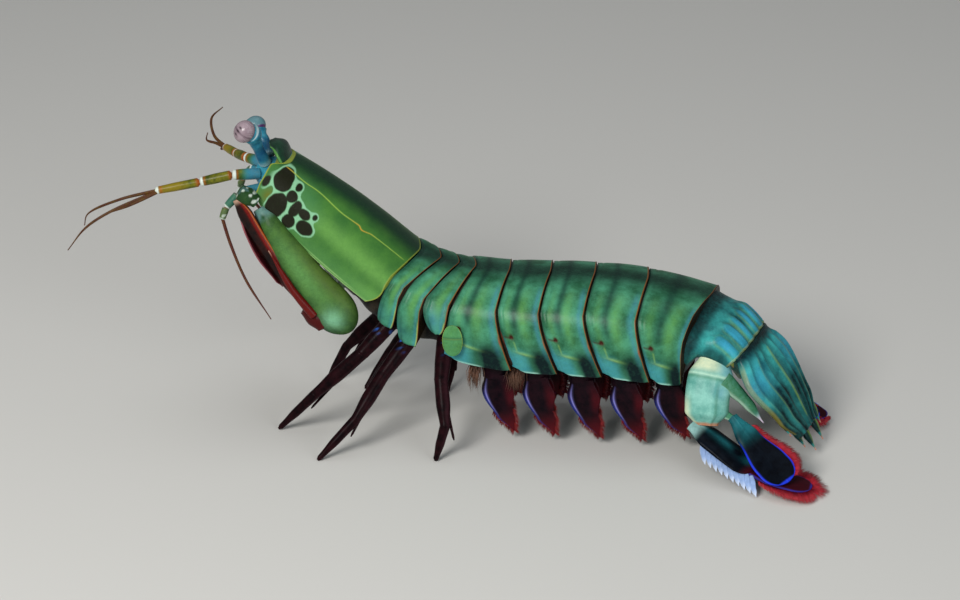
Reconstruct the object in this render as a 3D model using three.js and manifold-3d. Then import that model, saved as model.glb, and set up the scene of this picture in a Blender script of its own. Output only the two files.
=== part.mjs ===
// A peacock mantis shrimp, life size, standing with its fore body raised and its tail fan spread on the floor.
// Millimetres, +Z up, head towards -X, its left side towards -Y. The floor is z = 0.
import * as THREE from "three";
import { mergeVertices } from "three/addons/utils/BufferGeometryUtils.js";
import Module from "manifold-3d";

const wasm = await Module();
wasm.setup();

// Driving sizes, in millimetres
const GAP = 0.4; // free space between two pieces that touch in life
const CARAPACE_LENGTH = 37;
const CARAPACE_DEPTH = 11;
const CARAPACE_ARCH = 1.1; // how far its back line bows up between its ends
const MARGIN_BOW = 0.7; // how far its lower margins bow down
const HALF_WIDTH_FRONT = 9.5;
const HALF_WIDTH_REAR = 14.5;
const FOREBODY_PITCH = 36.3; // degrees that the fore body rises above the horizontal
const TELSON_LENGTH = 22;
const TELSON_PITCH = 53;
const EYE_RADIUS = 2.45;
const FEELER_RADIUS = 0.32;
const FLOOR_SHIFT = [-0.67, 1.7]; // puts the middle of the outline over the origin

const ORIGIN = [-38.2, 65]; // x and z of the carapace's front edge, on the midline
const vec = (x, y, z) => new THREE.Vector3(x, y, z);
const mix = THREE.MathUtils.lerp;
const rad = THREE.MathUtils.degToRad;
const LEFT = -1;
const RIGHT = 1;

// Shape tools

// A value that eases through [place, value] pairs.
function eased(pairs) {
  return (t) => {
    const next = pairs.findIndex(([place]) => place >= t);
    if (next === 0) return pairs[0][1];
    if (next < 0) return pairs.at(-1)[1];
    const [[a, from], [b, to]] = [pairs[next - 1], pairs[next]];
    const share = (t - a) / (b - a);
    return mix(from, to, share * share * (3 - 2 * share));
  };
}

// A closed body over rings: point(t, turn) has t from 0 to 1 along it and turn from 0 to 1 round it.
// Its ends are fans to their middles, or are filled by the flat outline of a section that is hollowed.
function skinned(point, places, sides, outline) {
  const rings = places.map((t) => Array.from({ length: sides }, (_, j) => point(t, j / sides)));
  const corners = rings.flat();
  const index = [];
  for (let i = 0; i + 1 < rings.length; i++)
    for (let j = 0; j < sides; j++) {
      const [a, b] = [i * sides + j, i * sides + ((j + 1) % sides)];
      index.push(a, b, b + sides, a, b + sides, a + sides);
    }
  if (outline) {
    const flat = Array.from({ length: sides }, (_, j) => outline(j / sides));
    const turned = (a, b, c) => THREE.ShapeUtils.area([flat[a], flat[b], flat[c]]) * THREE.ShapeUtils.area(flat) < 0;
    const last = (rings.length - 1) * sides;
    for (const [a, b, c] of THREE.ShapeUtils.triangulateShape(flat, [])) {
      const [p, q] = turned(a, b, c) ? [b, a] : [a, b];
      index.push(q, p, c, last + p, last + q, last + c);
    }
  } else for (const [ring, first] of [[rings[0], 0], [rings.at(-1), (rings.length - 1) * sides]]) {
    const middle = ring.reduce((sum, p) => sum.add(p), vec(0, 0, 0)).divideScalar(sides);
    corners.push(middle);
    for (let j = 0; j < sides; j++) {
      const [a, b] = [first + j, first + ((j + 1) % sides)];
      index.push(...(first ? [a, b, corners.length - 1] : [b, a, corners.length - 1]));
    }
  }
  let volume = 0;
  for (let i = 0; i < index.length; i += 3)
    volume += corners[index[i]].dot(corners[index[i + 1]].clone().cross(corners[index[i + 2]]));
  if (volume < 0) for (let i = 0; i < index.length; i += 3) [index[i], index[i + 1]] = [index[i + 1], index[i]];
  const made = new THREE.BufferGeometry().setFromPoints(corners);
  made.setIndex(index);
  return solidOf(made);
}

// A geometry as a solid that can be joined and cut.
function solidOf(geometry) {
  const bare = new THREE.BufferGeometry().setAttribute("position", geometry.getAttribute("position"));
  if (geometry.index) bare.setIndex(geometry.index);
  const merged = mergeVertices(bare, 1e-3);
  const vertProperties = new Float32Array(merged.attributes.position.array);
  const triVerts = new Uint32Array(merged.index.array);
  return new wasm.Manifold(new wasm.Mesh({ numProp: 3, vertProperties, triVerts }));
}

// A solid as a geometry.
function geometryOf(solid) {
  const mesh = solid.getMesh();
  const points = new THREE.BufferAttribute(new Float32Array(mesh.vertProperties), 3);
  return new THREE.BufferGeometry().setAttribute("position", points).setIndex([...mesh.triVerts]);
}

// The same solid with its surface moved out by a distance. Each corner moves along the middle of the
// directions its faces look in, far enough that a sharp edge is cleared on both its sides.
function grown(solid, distance = GAP) {
  const geometry = geometryOf(solid);
  const { position } = geometry.attributes;
  const corners = Array.from({ length: position.count }, (_, i) => vec(0, 0, 0).fromBufferAttribute(position, i));
  const looks = corners.map(() => []);
  for (let i = 0; i < geometry.index.count; i += 3) {
    const face = [0, 1, 2].map((step) => geometry.index.getX(i + step));
    const [a, b, c] = face.map((corner) => corners[corner]);
    const look = b.clone().sub(a).cross(c.clone().sub(a));
    if (look.length() < 1e-6) continue;
    look.normalize();
    for (const corner of face) if (!looks[corner].some((other) => other.dot(look) > 0.9)) looks[corner].push(look);
  }
  corners.forEach((corner, i) => {
    const way = looks[i].reduce((sum, look) => sum.add(look), vec(0, 0, 0)).normalize();
    const least = Math.min(1, ...looks[i].map((look) => look.dot(way)));
    corner.addScaledVector(way, distance / Math.max(0.35, least));
    position.setXYZ(i, ...corner.toArray());
  });
  return solidOf(geometry);
}

const largest = (solid) => solid.simplify(0.02).decompose().sort((a, b) => b.volume() - a.volume())[0];
const joined = (pieces) => largest(pieces.reduce((whole, piece) => whole.add(piece)));
const seated = (child, ...parents) => largest(parents.reduce((rest, parent) => rest.subtract(grown(parent)), child));

const even = (steps) => Array.from({ length: steps + 1 }, (_, i) => i / steps);

// A rod, paddle or scale carried along a curve: half sizes wide and thick, with wide lying along side.
function swept({ path, wide, thick = wide, side = vec(0, 1, 0), steps = 6, sides = 8, square = 1 }) {
  const curve = new THREE.CatmullRomCurve3(path, false, "centripetal");
  const bent = (value) => Math.sign(value) * Math.abs(value) ** square;
  const point = (t, turn) => {
    const along = curve.getTangentAt(t);
    const across = side.clone().addScaledVector(along, -side.dot(along)).normalize();
    const up = along.cross(across);
    const angle = turn * 2 * Math.PI;
    return curve
      .getPointAt(t)
      .addScaledVector(across, wide(t) * bent(Math.cos(angle)))
      .addScaledVector(up, thick(t) * bent(Math.sin(angle)));
  };
  return skinned(point, Array.isArray(steps) ? steps : even(steps), sides);
}

// A round-ended rod between two points.
const ROD_STEPS = [0, 0.06, 0.5, 0.94, 1];
function rod(from, to, startRadius, endRadius, options = {}) {
  const { swell = 1.06, flat = 1, sides = 8, side } = options;
  const radius = eased([[0, startRadius * 0.6], [0.06, startRadius], [0.5, ((startRadius + endRadius) / 2) * swell], [0.94, endRadius], [1, endRadius * 0.6]]);
  return swept({ path: [from, to], wide: radius, thick: (t) => radius(t) * flat, side, steps: ROD_STEPS, sides });
}

// A spine: a cone that starts inside what it grows from and ends in a small blunt tip.
function spine(root, tip, radius, options = {}) {
  const { flat = 1, sides = 5, side } = options;
  const size = (t) => mix(radius, 0.16, t);
  return swept({ path: [root, tip], wide: size, thick: (t) => size(t) * flat, side, steps: 1, sides });
}

// The back line, from the carapace's front edge to the end of the fifth abdominal ring.
// lean is how far each ring's plane tips back, width its half width and depth its height from the back to the side plates' edge.
const RINGS = [
  { x: ORIGIN[0], z: ORIGIN[1], lean: FOREBODY_PITCH, width: HALF_WIDTH_FRONT, depth: CARAPACE_DEPTH },
  { x: -8.4, z: 43.1, lean: 34, width: HALF_WIDTH_REAR, depth: 12.5 },
  { x: -3.4, z: 41.3, lean: 27, width: 14.3, depth: 17 },
  { x: 0.9, z: 40.3, lean: 18, width: 14.4, depth: 18 },
  { x: 4.9, z: 39.8, lean: 9, width: 14.8, depth: 18.6 },
  { x: 12.8, z: 39.4, lean: 3, width: 15.4, depth: 19.4 },
  { x: 22.5, z: 39.7, lean: 0, width: 15.8, depth: 19.8 },
  { x: 32.9, z: 39.9, lean: 0, width: 16, depth: 20 },
  { x: 45.3, z: 39.2, lean: 4, width: 15.8, depth: 19.8 },
  { x: 60.2, z: 36.2, lean: 12, width: 14.2, depth: 18.4 },
];

// The ring at a place along the back, counted in rings, with smooth values in between.
function ringAt(place) {
  const first = Math.min(Math.max(Math.floor(place), 0), RINGS.length - 2);
  const share = place - first;
  const at = (key) => {
    const value = (i) => RINGS[Math.min(Math.max(i, 0), RINGS.length - 1)][key];
    const [before, from, to, after] = [-1, 0, 1, 2].map((step) => value(first + step));
    if (first < 2) return mix(from, to, share);
    const [startSlope, endSlope] = [(to - before) / 2, (after - from) / 2];
    const square = share * share;
    const cube = square * share;
    return (2 * cube - 3 * square + 1) * from + (cube - 2 * square + share) * startSlope + (3 * square - 2 * cube) * to + (cube - square) * endSlope;
  };
  return { x: at("x"), z: at("z"), lean: rad(at("lean")), width: at("width"), depth: at("depth") };
}

// A point of the body: across and down from the back line, and back along the body from its ring's plane.
function bodyPoint(place, across, depth, back = 0) {
  const { x, z, lean } = ringAt(place);
  const arch = place < 1 ? Math.sin(Math.max(0, place) * Math.PI) : 0;
  const down = depth + arch * mix(-CARAPACE_ARCH, MARGIN_BOW, depth / CARAPACE_DEPTH);
  return vec(x - down * Math.sin(lean) + back * Math.cos(lean), across, z - down * Math.cos(lean) - back * Math.sin(lean));
}

// Sections, as [across, down] shares of half width and depth; share runs 0 to 1 from the back to the belly

const ARCH_SHARE = 0.6; // how much of the depth the rounded back takes
function archPoint(share, power = 0.84) {
  const angle = (share * Math.PI) / 2;
  return [Math.sin(angle) ** power, 1 - Math.cos(angle) ** power];
}

// A ring with side plates that hang below a flat belly.
function ringSection(share) {
  const part = (from, to) => (share - from) / (to - from);
  if (share <= 1 / 2) {
    const [across, down] = archPoint(share * 2);
    return [across, down * ARCH_SHARE];
  }
  if (share <= 2 / 3) return [1 - 0.05 * part(1 / 2, 2 / 3) ** 1.6, mix(ARCH_SHARE, 1, part(1 / 2, 2 / 3))];
  if (share <= 3 / 4) return [mix(0.95, 0.86, part(2 / 3, 3 / 4)), 1];
  if (share <= 5 / 6) return [mix(0.86, 0.78, part(3 / 4, 5 / 6)), mix(1, 0.84, part(3 / 4, 5 / 6))];
  return [mix(0.78, 0, part(5 / 6, 1)), 0.84 - 0.05 * Math.sin((part(5 / 6, 1) * Math.PI) / 2)];
}

// A saddle: an arch with a shallower arch below it.
const saddleSection = (under) => (share) => {
  if (share <= 1 / 2) return archPoint(share * 2);
  const inner = (share - 1 / 2) * 2;
  return [0.97 * Math.cos((inner * Math.PI) / 2), 1 - (1 - under) * Math.sin((inner * Math.PI) / 2)];
};

// How far a ring's edge bows back from its plane, by depth share. The thorax rings' edges sweep forward on the
// flank. The abdomen's run nearly straight and then sweep back at the side plate.
const bowed = (forward, by, back, from, power = 1.2) => (down) =>
  back * Math.max(0, (down - from) / (1 - from)) ** power - forward * Math.min(1, down / by) ** 0.5;
const shieldBow = bowed(3, 0.35, 1.6, 0.5);
const thoraxBow = bowed(4.9, 0.35, 3.2, 0.5);
const lastThoraxBow = bowed(3.8, 0.35, 0.4, 0.5);
const edgeBow = bowed(1.3, 0.25, 4.8, 0.25);
const lastBow = bowed(0.9, 0.12, 2.1, 0.4);

// The tail is turned a little to the animal's left behind the fifth ring.
const TAIL_TURN = rad(13.5);
const HINGE = vec(61.2, 0, 0);
const tailTurned = (point) => point.sub(HINGE).applyAxisAngle(vec(0, 0, 1), -TAIL_TURN).add(HINGE);

// One ring of the body between two places, with its edges moved by front(down) and rear(down).
function bodyRing({ from, to, section, places, sides, front, rear, flare = () => 1, deep = () => 1, turn: twist = 0 }) {
  const point = (t, turn) => {
    const share = turn < 0.5 ? turn * 2 : 2 - turn * 2;
    const [across, down] = section(share);
    const place = mix(from, to, t);
    const { width, depth } = ringAt(place);
    const side = (turn < 0.5 ? LEFT : RIGHT) * across * width * flare(t);
    const back = mix(front(down), rear(down), t) + side * Math.tan(twist) * t;
    return bodyPoint(place, side, down * depth * mix(1, deep(t), down), back);
  };
  const outline = (turn) => {
    const [across, down] = section(turn < 0.5 ? turn * 2 : 2 - turn * 2);
    return new THREE.Vector2(turn < 0.5 ? -across : across, down);
  };
  return skinned(point, places, sides, outline);
}

// Body

// The shield's front edge reaches forward beside the head, and its corners are rounded.
const shieldFront = eased([[0, 0], [0.2, -3.6], [0.5, -3.2], [0.85, -2.4], [1, 0.5]]);
function carapace() {
  const rounded = (down) => 4.2 * Math.max(0, down - 0.62) ** 2 * 6;
  return bodyRing({
    from: 0,
    to: 1,
    section: saddleSection(0.7),
    places: [0, 0.06, 0.2, 0.5, 0.85, 1],
    sides: 24,
    front: shieldFront,
    rear: (down) => -0.2 - rounded(down) + shieldBow(down),
  });
}

function rostralPlate() {
  const base = bodyPoint(0, 0, 1.6, -0.9);
  const tip = bodyPoint(0, 0, 0.4, -6.6);
  return swept({
    path: [base, bodyPoint(0, 0, 0.2, -3.6), tip],
    wide: eased([[0, 5.2], [0.4, 5], [0.85, 3], [1, 1.2]]),
    thick: eased([[0, 1.5], [0.6, 1.2], [1, 0.5]]),
    steps: 4,
    sides: 12,
  });
}

// The three free rings of the thorax: saddles whose ends are rounded lobes.
function thoraxRing(number) {
  const from = number - 5;
  const lobe = (down) => (down < 0.55 ? 0 : 1.9 * (1 - Math.sqrt(Math.max(0, 1 - ((down - 0.55) / 0.46) ** 2))));
  const [ahead, behind] = [[shieldBow, thoraxBow], [thoraxBow, thoraxBow], [thoraxBow, lastThoraxBow]][number - 6];
  const [frontDeep, rearDeep] = [[1.18, 0.92], [1.02, 0.98], [0.72, 0.66]][number - 6];
  return bodyRing({
    from,
    to: from + 1,
    section: saddleSection(0.86),
    places: [0, 0.5, 1],
    sides: 24,
    front: (down) => GAP / 2 + lobe(down) + ahead(down),
    rear: (down) => -GAP / 2 - lobe(down) + behind(down),
    flare: (t) => mix(0.97, 1, t),
    deep: (t) => mix(frontDeep, rearDeep, t),
  });
}

function abdomenRing(number) {
  const from = number + 3;
  const first = number === 1 ? lastThoraxBow : edgeBow;
  return bodyRing({
    from,
    to: from + 1,
    section: ringSection,
    places: [0, 0.15, 0.6, 1],
    sides: 24,
    front: (down) => 0.7 * GAP + first(down),
    rear: (down) => -0.7 * GAP + (number === 5 ? lastBow : edgeBow)(down),
    flare: eased([[0, 0.95], [0.2, 0.98], [1, 1]]),
    turn: number === 5 ? TAIL_TURN : 0,
  });
}

// The small oval plate that stands in front of the first abdominal ring on each side.
function ovalPlate(sign) {
  const plate = swept({
    path: [vec(1.2, sign * 15.7, 31.4), vec(1.3, sign * 16, 27.6), vec(1.3, sign * 15.9, 23.8)],
    wide: eased([[0, 0.9], [0.35, 2.3], [0.65, 2.3], [1, 0.9]]),
    thick: eased([[0, 0.3], [0.5, 0.55], [1, 0.3]]),
    side: vec(1, 0, 0),
    steps: 3,
    sides: 8,
  });
  return joined([plate, rod(vec(1.6, sign * 15.8, 27.8), vec(5.4, sign * 14.6, 28.6), 0.5, 0.7, { sides: 6 })]);
}

// The narrow trunk under the carapace and the thorax rings, which carries the legs and claws.
function trunk() {
  return swept({
    path: [vec(-37.5, 0, 54.5), vec(-25, 0, 42.5), vec(-12, 0, 31), vec(0, 0, 28.5), vec(6, 0, 28.5)],
    wide: eased([[0, 5.5], [0.3, 7.5], [0.7, 10], [1, 10.5]]),
    thick: eased([[0, 5.5], [0.4, 7], [1, 7.5]]),
    steps: 7,
    sides: 14,
    square: 0.8,
  });
}

function head() {
  return swept({
    path: [vec(-38.6, 0, 57), vec(-43, 0, 60), vec(-47, 0, 61.8)],
    wide: eased([[0, 6], [0.5, 6], [1, 3.4]]),
    thick: eased([[0, 5.6], [0.6, 4.4], [1, 2.4]]),
    steps: 4,
    sides: 12,
  });
}

// Tail

const SIXTH = [
  { x: 61.8, z: 32.8, lean: rad(20), width: 12.4, depth: 11 },
  { x: 70.5, z: 26.6, lean: rad(44), width: 11.8, depth: 8.5 },
];
function sixthPoint(t, across, down) {
  const [a, b] = SIXTH;
  const lean = mix(a.lean, b.lean, t);
  const rise = 0.8 * Math.sin(Math.PI * t);
  const x = mix(a.x, b.x, t) + (rise - down) * Math.sin(lean);
  const z = mix(a.z, b.z, t) + (rise - down) * Math.cos(lean);
  return tailTurned(vec(x, across, z));
}

// The sixth ring has six swollen keels, each ending in a spine.
function abdomenSix() {
  const body = skinned(
    (t, turn) => {
      const angle = turn * 2 * Math.PI;
      const bent = (value, power) => Math.sign(value) * Math.abs(value) ** power;
      const across = bent(Math.sin(angle), 0.8) * mix(SIXTH[0].width, SIXTH[1].width, t);
      const down = ((1 - bent(Math.cos(angle), 0.9)) / 2) * mix(SIXTH[0].depth, SIXTH[1].depth, t);
      return sixthPoint(t, across, down);
    },
    [0, 0.3, 0.7, 1],
    20,
  );
  const keels = [LEFT, RIGHT].flatMap((sign) =>
    [[3, 0.2, 1.1], [7, 0.9, 1.3], [10.8, 3.4, 1.2]].map(([across, down, radius]) =>
      swept({
        path: [0.18, 0.6, 1, 1.16].map((t) => sixthPoint(t, sign * across, down + (t > 1 ? 0.5 : 0))),
        wide: eased([[0, radius * 0.7], [0.4, radius], [0.85, radius * 0.8], [1, 0.3]]),
        thick: eased([[0, 0.5], [0.4, 1], [0.85, 0.9], [1, 0.3]]),
        steps: 4,
        sides: 6,
      }),
    ),
  );
  return joined([body, ...keels]);
}

// The telson lies in its own plane: back runs down it, across over it and up out of it.
const TELSON_ROOT = vec(71.2, 0, 23.9);
const TELSON_BACK = vec(Math.cos(rad(TELSON_PITCH)), 0, -Math.sin(rad(TELSON_PITCH)));
const TELSON_UP = vec(Math.sin(rad(TELSON_PITCH)), 0, Math.cos(rad(TELSON_PITCH)));
function telsonPoint(back, across, up) {
  const straight = TELSON_ROOT.clone().addScaledVector(TELSON_BACK, back).addScaledVector(TELSON_UP, up);
  return tailTurned(straight.add(vec(0, across, 0)));
}
const TAIL_ACROSS = vec(Math.sin(TAIL_TURN), Math.cos(TAIL_TURN), 0);
const telsonHalfWidth = eased([[0, 9.4], [0.3, 12.6], [0.75, 10], [1, 6.5]]);
const telsonRise = (share, across) => (3.2 - 1.8 * share) * (1 - Math.min(1, Math.abs(across)) ** 2.2);

function telson() {
  const plate = swept({
    path: [telsonPoint(0.2, 0, 0), telsonPoint(TELSON_LENGTH / 2, 0, 0), telsonPoint(TELSON_LENGTH, 0, 0)],
    wide: (t) => telsonHalfWidth(t),
    thick: eased([[0, 2.6], [0.5, 2.4], [1, 1.1]]),
    side: TAIL_ACROSS,
    steps: 6,
    sides: 20,
    square: 0.85,
  });
  const keel = (across, from, to, radius) =>
    swept({
      path: [from, (from + to) / 2, to].map((back) => {
        const share = back / TELSON_LENGTH;
        const spread = across * telsonHalfWidth(Math.min(1, share));
        return telsonPoint(back, spread, 0.7 * telsonRise(Math.min(1, share), across));
      }),
      wide: eased([[0, radius * 0.5], [0.4, radius], [0.9, radius * 0.7], [1, 0.3]]),
      thick: eased([[0, 0.5], [0.4, 1.1], [0.9, 0.9], [1, 0.3]]),
      steps: 4,
      sides: 6,
    });
  const tooth = (sign, across, from, reach, radius) =>
    spine(telsonPoint(from, sign * across, 0), telsonPoint(reach, sign * across * 0.9, -0.4), radius, { flat: 0.55, sides: 6 });
  const pairs = [LEFT, RIGHT].flatMap((sign) => [
    keel(sign * 0.3, 2, 20, 0.8),
    keel(sign * 0.58, 3, 19.5, 0.8),
    keel(sign * 0.86, 2, 17, 0.8),
    tooth(sign, 3.3, 18, 27.4, 2.4),
    tooth(sign, 7.4, 16, 24.6, 2.2),
    tooth(sign, 10.6, 11, 20, 1.8),
  ]);
  return joined([plate, keel(0, 1.5, 20.5, 1), ...pairs]);
}

// Tail fan

const STEMS = {
  left: [vec(61.4, -11.4, 22.6), vec(60.6, -15.2, 17.6), vec(60.6, -17.8, 11.4)],
  right: [vec(64.6, 10.2, 20), vec(68, 12, 15), vec(71.6, 13, 9.6)],
};
function protopod(path, sign) {
  const [, middle, end] = path;
  const block = swept({
    path,
    wide: eased([[0, 4], [0.3, 5.4], [0.8, 5.2], [1, 3.4]]),
    thick: eased([[0, 2.2], [0.3, 3], [0.8, 2.8], [1, 1.6]]),
    side: vec(1, 0, 0),
    steps: 5,
    sides: 10,
    square: 0.85,
  });
  const inward = sign === LEFT ? 2 : -1.6;
  const inner = spine(middle.clone().add(vec(2.6, inward, 0.6)), middle.clone().add(vec(13, inward * 0.6, -7)), 1.7, { sides: 6 });
  const outer = spine(middle.clone().lerp(end, 0.5).add(vec(2.4, 0, 0)), end.clone().add(vec(9.6, inward * -0.3, -0.6)), 1.3, { sides: 6 });
  return joined([block, inner, outer]);
}

// The left half of the fan is spread; the right half is folded in under the telson.
const FAN = {
  left: {
    near: [vec(58, -18.2, 10), vec(65.5, -21.6, 6.8), vec(72.5, -25, 3.8)],
    far: [vec(71.4, -24.4, 3.6), vec(78.4, -25.7, 2.2), vec(85.7, -26.2, 1.2)],
    spines: [vec(59.8, -20.8, 7.6), vec(71.4, -27.6, 3.4)],
    inner: [vec(66.6, -17, 13), vec(73, -22.5, 8), vec(80.4, -28.6, 3.4)],
  },
  right: {
    near: [vec(71.5, 13, 7), vec(76.6, 13, 4.6), vec(82, 11.4, 2.6)],
    far: [vec(79.2, 12.6, 3.6), vec(83, 10, 2.6), vec(86.4, 6.4, 1.8)],
    spines: [vec(72, 15.8, 5.8), vec(82.4, 14.4, 2.4)],
    inner: [vec(73.5, 8.4, 12), vec(79.5, 8.4, 6.6), vec(86, 6.8, 2.4)],
  },
};
// Level and square to a path.
const beside = (path) => vec(path[0].y - path.at(-1).y, path.at(-1).x - path[0].x, 0).normalize();

// Setae round the end of a paddle, as flat tapered blades rooted along its margin. turn runs from start to
// stop through 0 at the tip, with its two sides below and above 0.
const BLADE_RADIUS = 0.48;
function fringe({ path, wide, side, start, stop, count, length }) {
  const curve = new THREE.CatmullRomCurve3(path, false, "centripetal");
  return Array.from({ length: count }, (_, i) => {
    const turn = mix(start, stop, i / (count - 1));
    const t = 1 - Math.abs(turn);
    const along = curve.getTangentAt(t);
    const across = side.clone().addScaledVector(along, -side.dot(along)).normalize();
    const edge = Math.sign(turn) * Math.min(1, Math.abs(turn) / 0.12);
    const out = across.clone().multiplyScalar(edge).addScaledVector(along, 1.15 - 0.75 * Math.abs(edge)).normalize();
    const root = curve.getPointAt(t).addScaledVector(across, (wide(t) - 0.6) * edge);
    const tip = root.clone().addScaledVector(out, length * (1 + 0.07 * Math.sin(i * 2.4)) + 0.6);
    tip.z = Math.max(0.25, tip.z - 0.3);
    return spine(root, tip, BLADE_RADIUS, { flat: 0.6, sides: 4, side: vec(-out.y, out.x, 0) });
  });
}

const EXOPOD_SPINES = 10;
const EXOPOD_BLADES = 18;
const ENDOPOD_BLADES = 13;
function exopod({ near, far, spines: [first, last] }, sign) {
  const block = swept({
    path: near,
    wide: eased([[0, 2.6], [0.3, 4.2], [0.8, 4.6], [1, 3.2]]),
    thick: eased([[0, 1.4], [0.4, 1.4], [1, 0.9]]),
    side: beside(near),
    steps: 5,
    sides: 10,
  });
  const wide = eased([[0, 2.4], [0.35, 3.7], [0.7, 3.8], [1, 1.8]]);
  const paddle = swept({
    path: far,
    wide,
    thick: eased([[0, 0.9], [0.5, 0.65], [1, 0.4]]),
    side: beside(far),
    steps: 6,
    sides: 10,
  });
  const way = last.clone().sub(first).setZ(0).normalize();
  const out = vec(-way.y * sign, way.x * sign, 0);
  const spines = even(EXOPOD_SPINES - 1).map((t) => {
    const root = first.clone().lerp(last, t);
    const reach = mix(3.6, 5.6, t);
    const tip = root.clone().addScaledVector(way, reach * 0.62).addScaledVector(out, reach * 0.4).setZ(mix(3.6, 0.5, t));
    return spine(root, tip, 0.8, { flat: 0.6, side: way });
  });
  const blades = fringe({ path: far, wide, side: beside(far), start: -0.75, stop: 0.75, count: EXOPOD_BLADES, length: 3.9 });
  return joined([block, paddle, ...spines, ...blades]);
}

function endopod({ inner }, sign) {
  const side = sign === LEFT ? vec(0.7, 0.6, 0.35) : vec(0, 1, 0);
  const wide = eased([[0, 1.5], [0.3, 2.8], [0.7, 4.3], [0.9, 3.8], [1, 1.6]]);
  const paddle = swept({
    path: inner,
    wide,
    thick: eased([[0, 1.2], [0.4, 0.9], [1, 0.4]]),
    side,
    steps: 7,
    sides: 10,
  });
  const blades = fringe({ path: inner, wide, side, start: -0.2, stop: 0.7, count: ENDOPOD_BLADES, length: 2.2 });
  return joined([paddle, ...blades]);
}

// Walking legs: root, knee, ankle and foot of each, for the left side and the right
const LEGS = {
  left: [
    [vec(-14, -9.2, 28.5), vec(-20.5, -12.6, 21.5), vec(-31.5, -14.6, 11), vec(-41.5, -12.8, -0.4)],
    [vec(-9, -9.2, 25.5), vec(-15, -15.2, 17.8), vec(-20.6, -22.4, 9), vec(-29.4, -27.4, -0.4)],
    [vec(-1.5, -9, 24.5), vec(-1.4, -16, 17.4), vec(0.4, -22, 8.6), vec(-1.8, -23.6, -0.4)],
  ],
  right: [
    [vec(-14, 9.2, 28.5), vec(-21.5, 13, 18.5), vec(-29.4, 14.6, 9.5), vec(-34.5, 12.5, -0.4)],
    [vec(-9, 9.2, 25.5), vec(-13, 15.2, 16), vec(-19, 16.4, 8), vec(-24.6, 10.5, -0.4)],
    [vec(-1.5, 9, 24.5), vec(-2.2, 15, 16), vec(-3.4, 16.6, 7.8), vec(-4.4, 11.5, -0.4)],
  ],
};
function walkingLeg([root, knee, ankle, foot], spread = 3.2) {
  const branch = knee.clone().lerp(ankle, 0.15);
  const twig = ankle.clone().lerp(foot, 0.45).add(vec(spread, 0, 0.8));
  return joined([
    rod(root, knee, 1.9, 1.6, { sides: 7 }),
    rod(knee, ankle, 1.5, 1.1, { swell: 1.2, sides: 7 }),
    rod(ankle, foot.clone().lerp(ankle, 0.06), 1.1, 0.7, { swell: 1.15, sides: 7 }),
    rod(branch, twig, 0.6, 0.4, { sides: 5 }),
  ]);
}
const onFloor = (solid) => {
  const below = solidOf(new THREE.BoxGeometry(400, 400, 20).translate(0, 0, -10));
  return largest(solid.subtract(below));
};

// Swimming legs: a stout base, two leaf-shaped flaps and a tuft of gill filaments
const GILL_FILAMENTS = 4;
const SWIMMING_LEGS = [10.4, 20, 30.6, 40.6, 51];
function swimmingLeg(number, sign) {
  const x = SWIMMING_LEGS[number];
  const shorter = number === 4 ? 1.5 : 0;
  const base = rod(vec(x, sign * 8.6, 24.4), vec(x + 0.2, sign * 9.2, 15.4), 2.6, 2.4, { flat: 1.3 });
  const leaf = (out, back, low, wide) =>
    swept({
      path: [vec(x + 0.3, sign * out, 17), vec(x + 1.4, sign * (out + 0.3), 10), vec(x + back, sign * (out + 0.2), low)],
      wide: eased([[0, wide * 0.7], [0.3, wide], [0.7, wide * 0.62], [1, 0.5]]),
      thick: eased([[0, 0.9], [0.5, 0.55], [1, 0.3]]),
      side: vec(1, sign * 0.35, 0),
      steps: 5,
      sides: 8,
    });
  const filaments = Array.from({ length: GILL_FILAMENTS }, (_, i) => {
    const root = vec(x - 1.2 - 0.35 * i, sign * (8.8 + 0.5 * (i % 2)), 22 - 1.5 * i);
    return spine(root, root.clone().add(vec(-2.2 + 0.3 * i, sign * (1 - 0.5 * (i % 3)), -4.6 + 0.4 * i)), 0.5, { sides: 4 });
  });
  return joined([base, leaf(10.4, 4.8, 2.6 + shorter, 4.3), leaf(6.6, 3.4, 4 + shorter, 3.6), ...filaments]);
}

// Striking claws

function merus(sign) {
  return swept({
    path: [vec(-44.8, sign * 9.4, 55.4), vec(-35.4, sign * 12, 42.2), vec(-22.8, sign * 13, 27.2)],
    wide: eased([[0, 1.8], [0.12, 3], [0.45, 4.4], [0.8, 5.4], [0.95, 4], [1, 1.8]]),
    thick: eased([[0, 1.6], [0.15, 2.6], [0.7, 3.2], [0.95, 2.6], [1, 1.2]]),
    side: vec(0.8, 0, 0.6),
    steps: 8,
    sides: 10,
  });
}

function carpus(sign) {
  return rod(vec(-45, sign * 10.2, 57.4), vec(-49, sign * 11.2, 60.2), 1.9, 2.2, { swell: 1.2, flat: 0.8 });
}

function propodus(sign) {
  return swept({
    path: [vec(-49.4, sign * 11.8, 58.4), vec(-42.2, sign * 12.6, 46), vec(-33.8, sign * 13.2, 33.6)],
    wide: eased([[0, 1.2], [0.15, 1.8], [0.7, 2], [1, 1.4]]),
    thick: eased([[0, 1], [0.5, 1.3], [1, 1.1]]),
    side: vec(0.8, 0, 0.6),
    steps: 5,
    sides: 8,
  });
}

// The club: a swollen heel with a point that folds forward along the limb before it.
function dactyl(sign) {
  const heel = rod(vec(-33.6, sign * 13.4, 32.8), vec(-29.2, sign * 13.6, 28), 1.8, 1.6, { swell: 1.3 });
  const point = swept({
    path: [vec(-31.3, sign * 15, 31.6), vec(-35.8, sign * 15.6, 37.6), vec(-41.6, sign * 15, 47.4)],
    wide: eased([[0, 1.2], [0.5, 0.8], [1, 0.3]]),
    steps: 4,
    sides: 6,
  });
  return joined([heel, point]);
}

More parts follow.
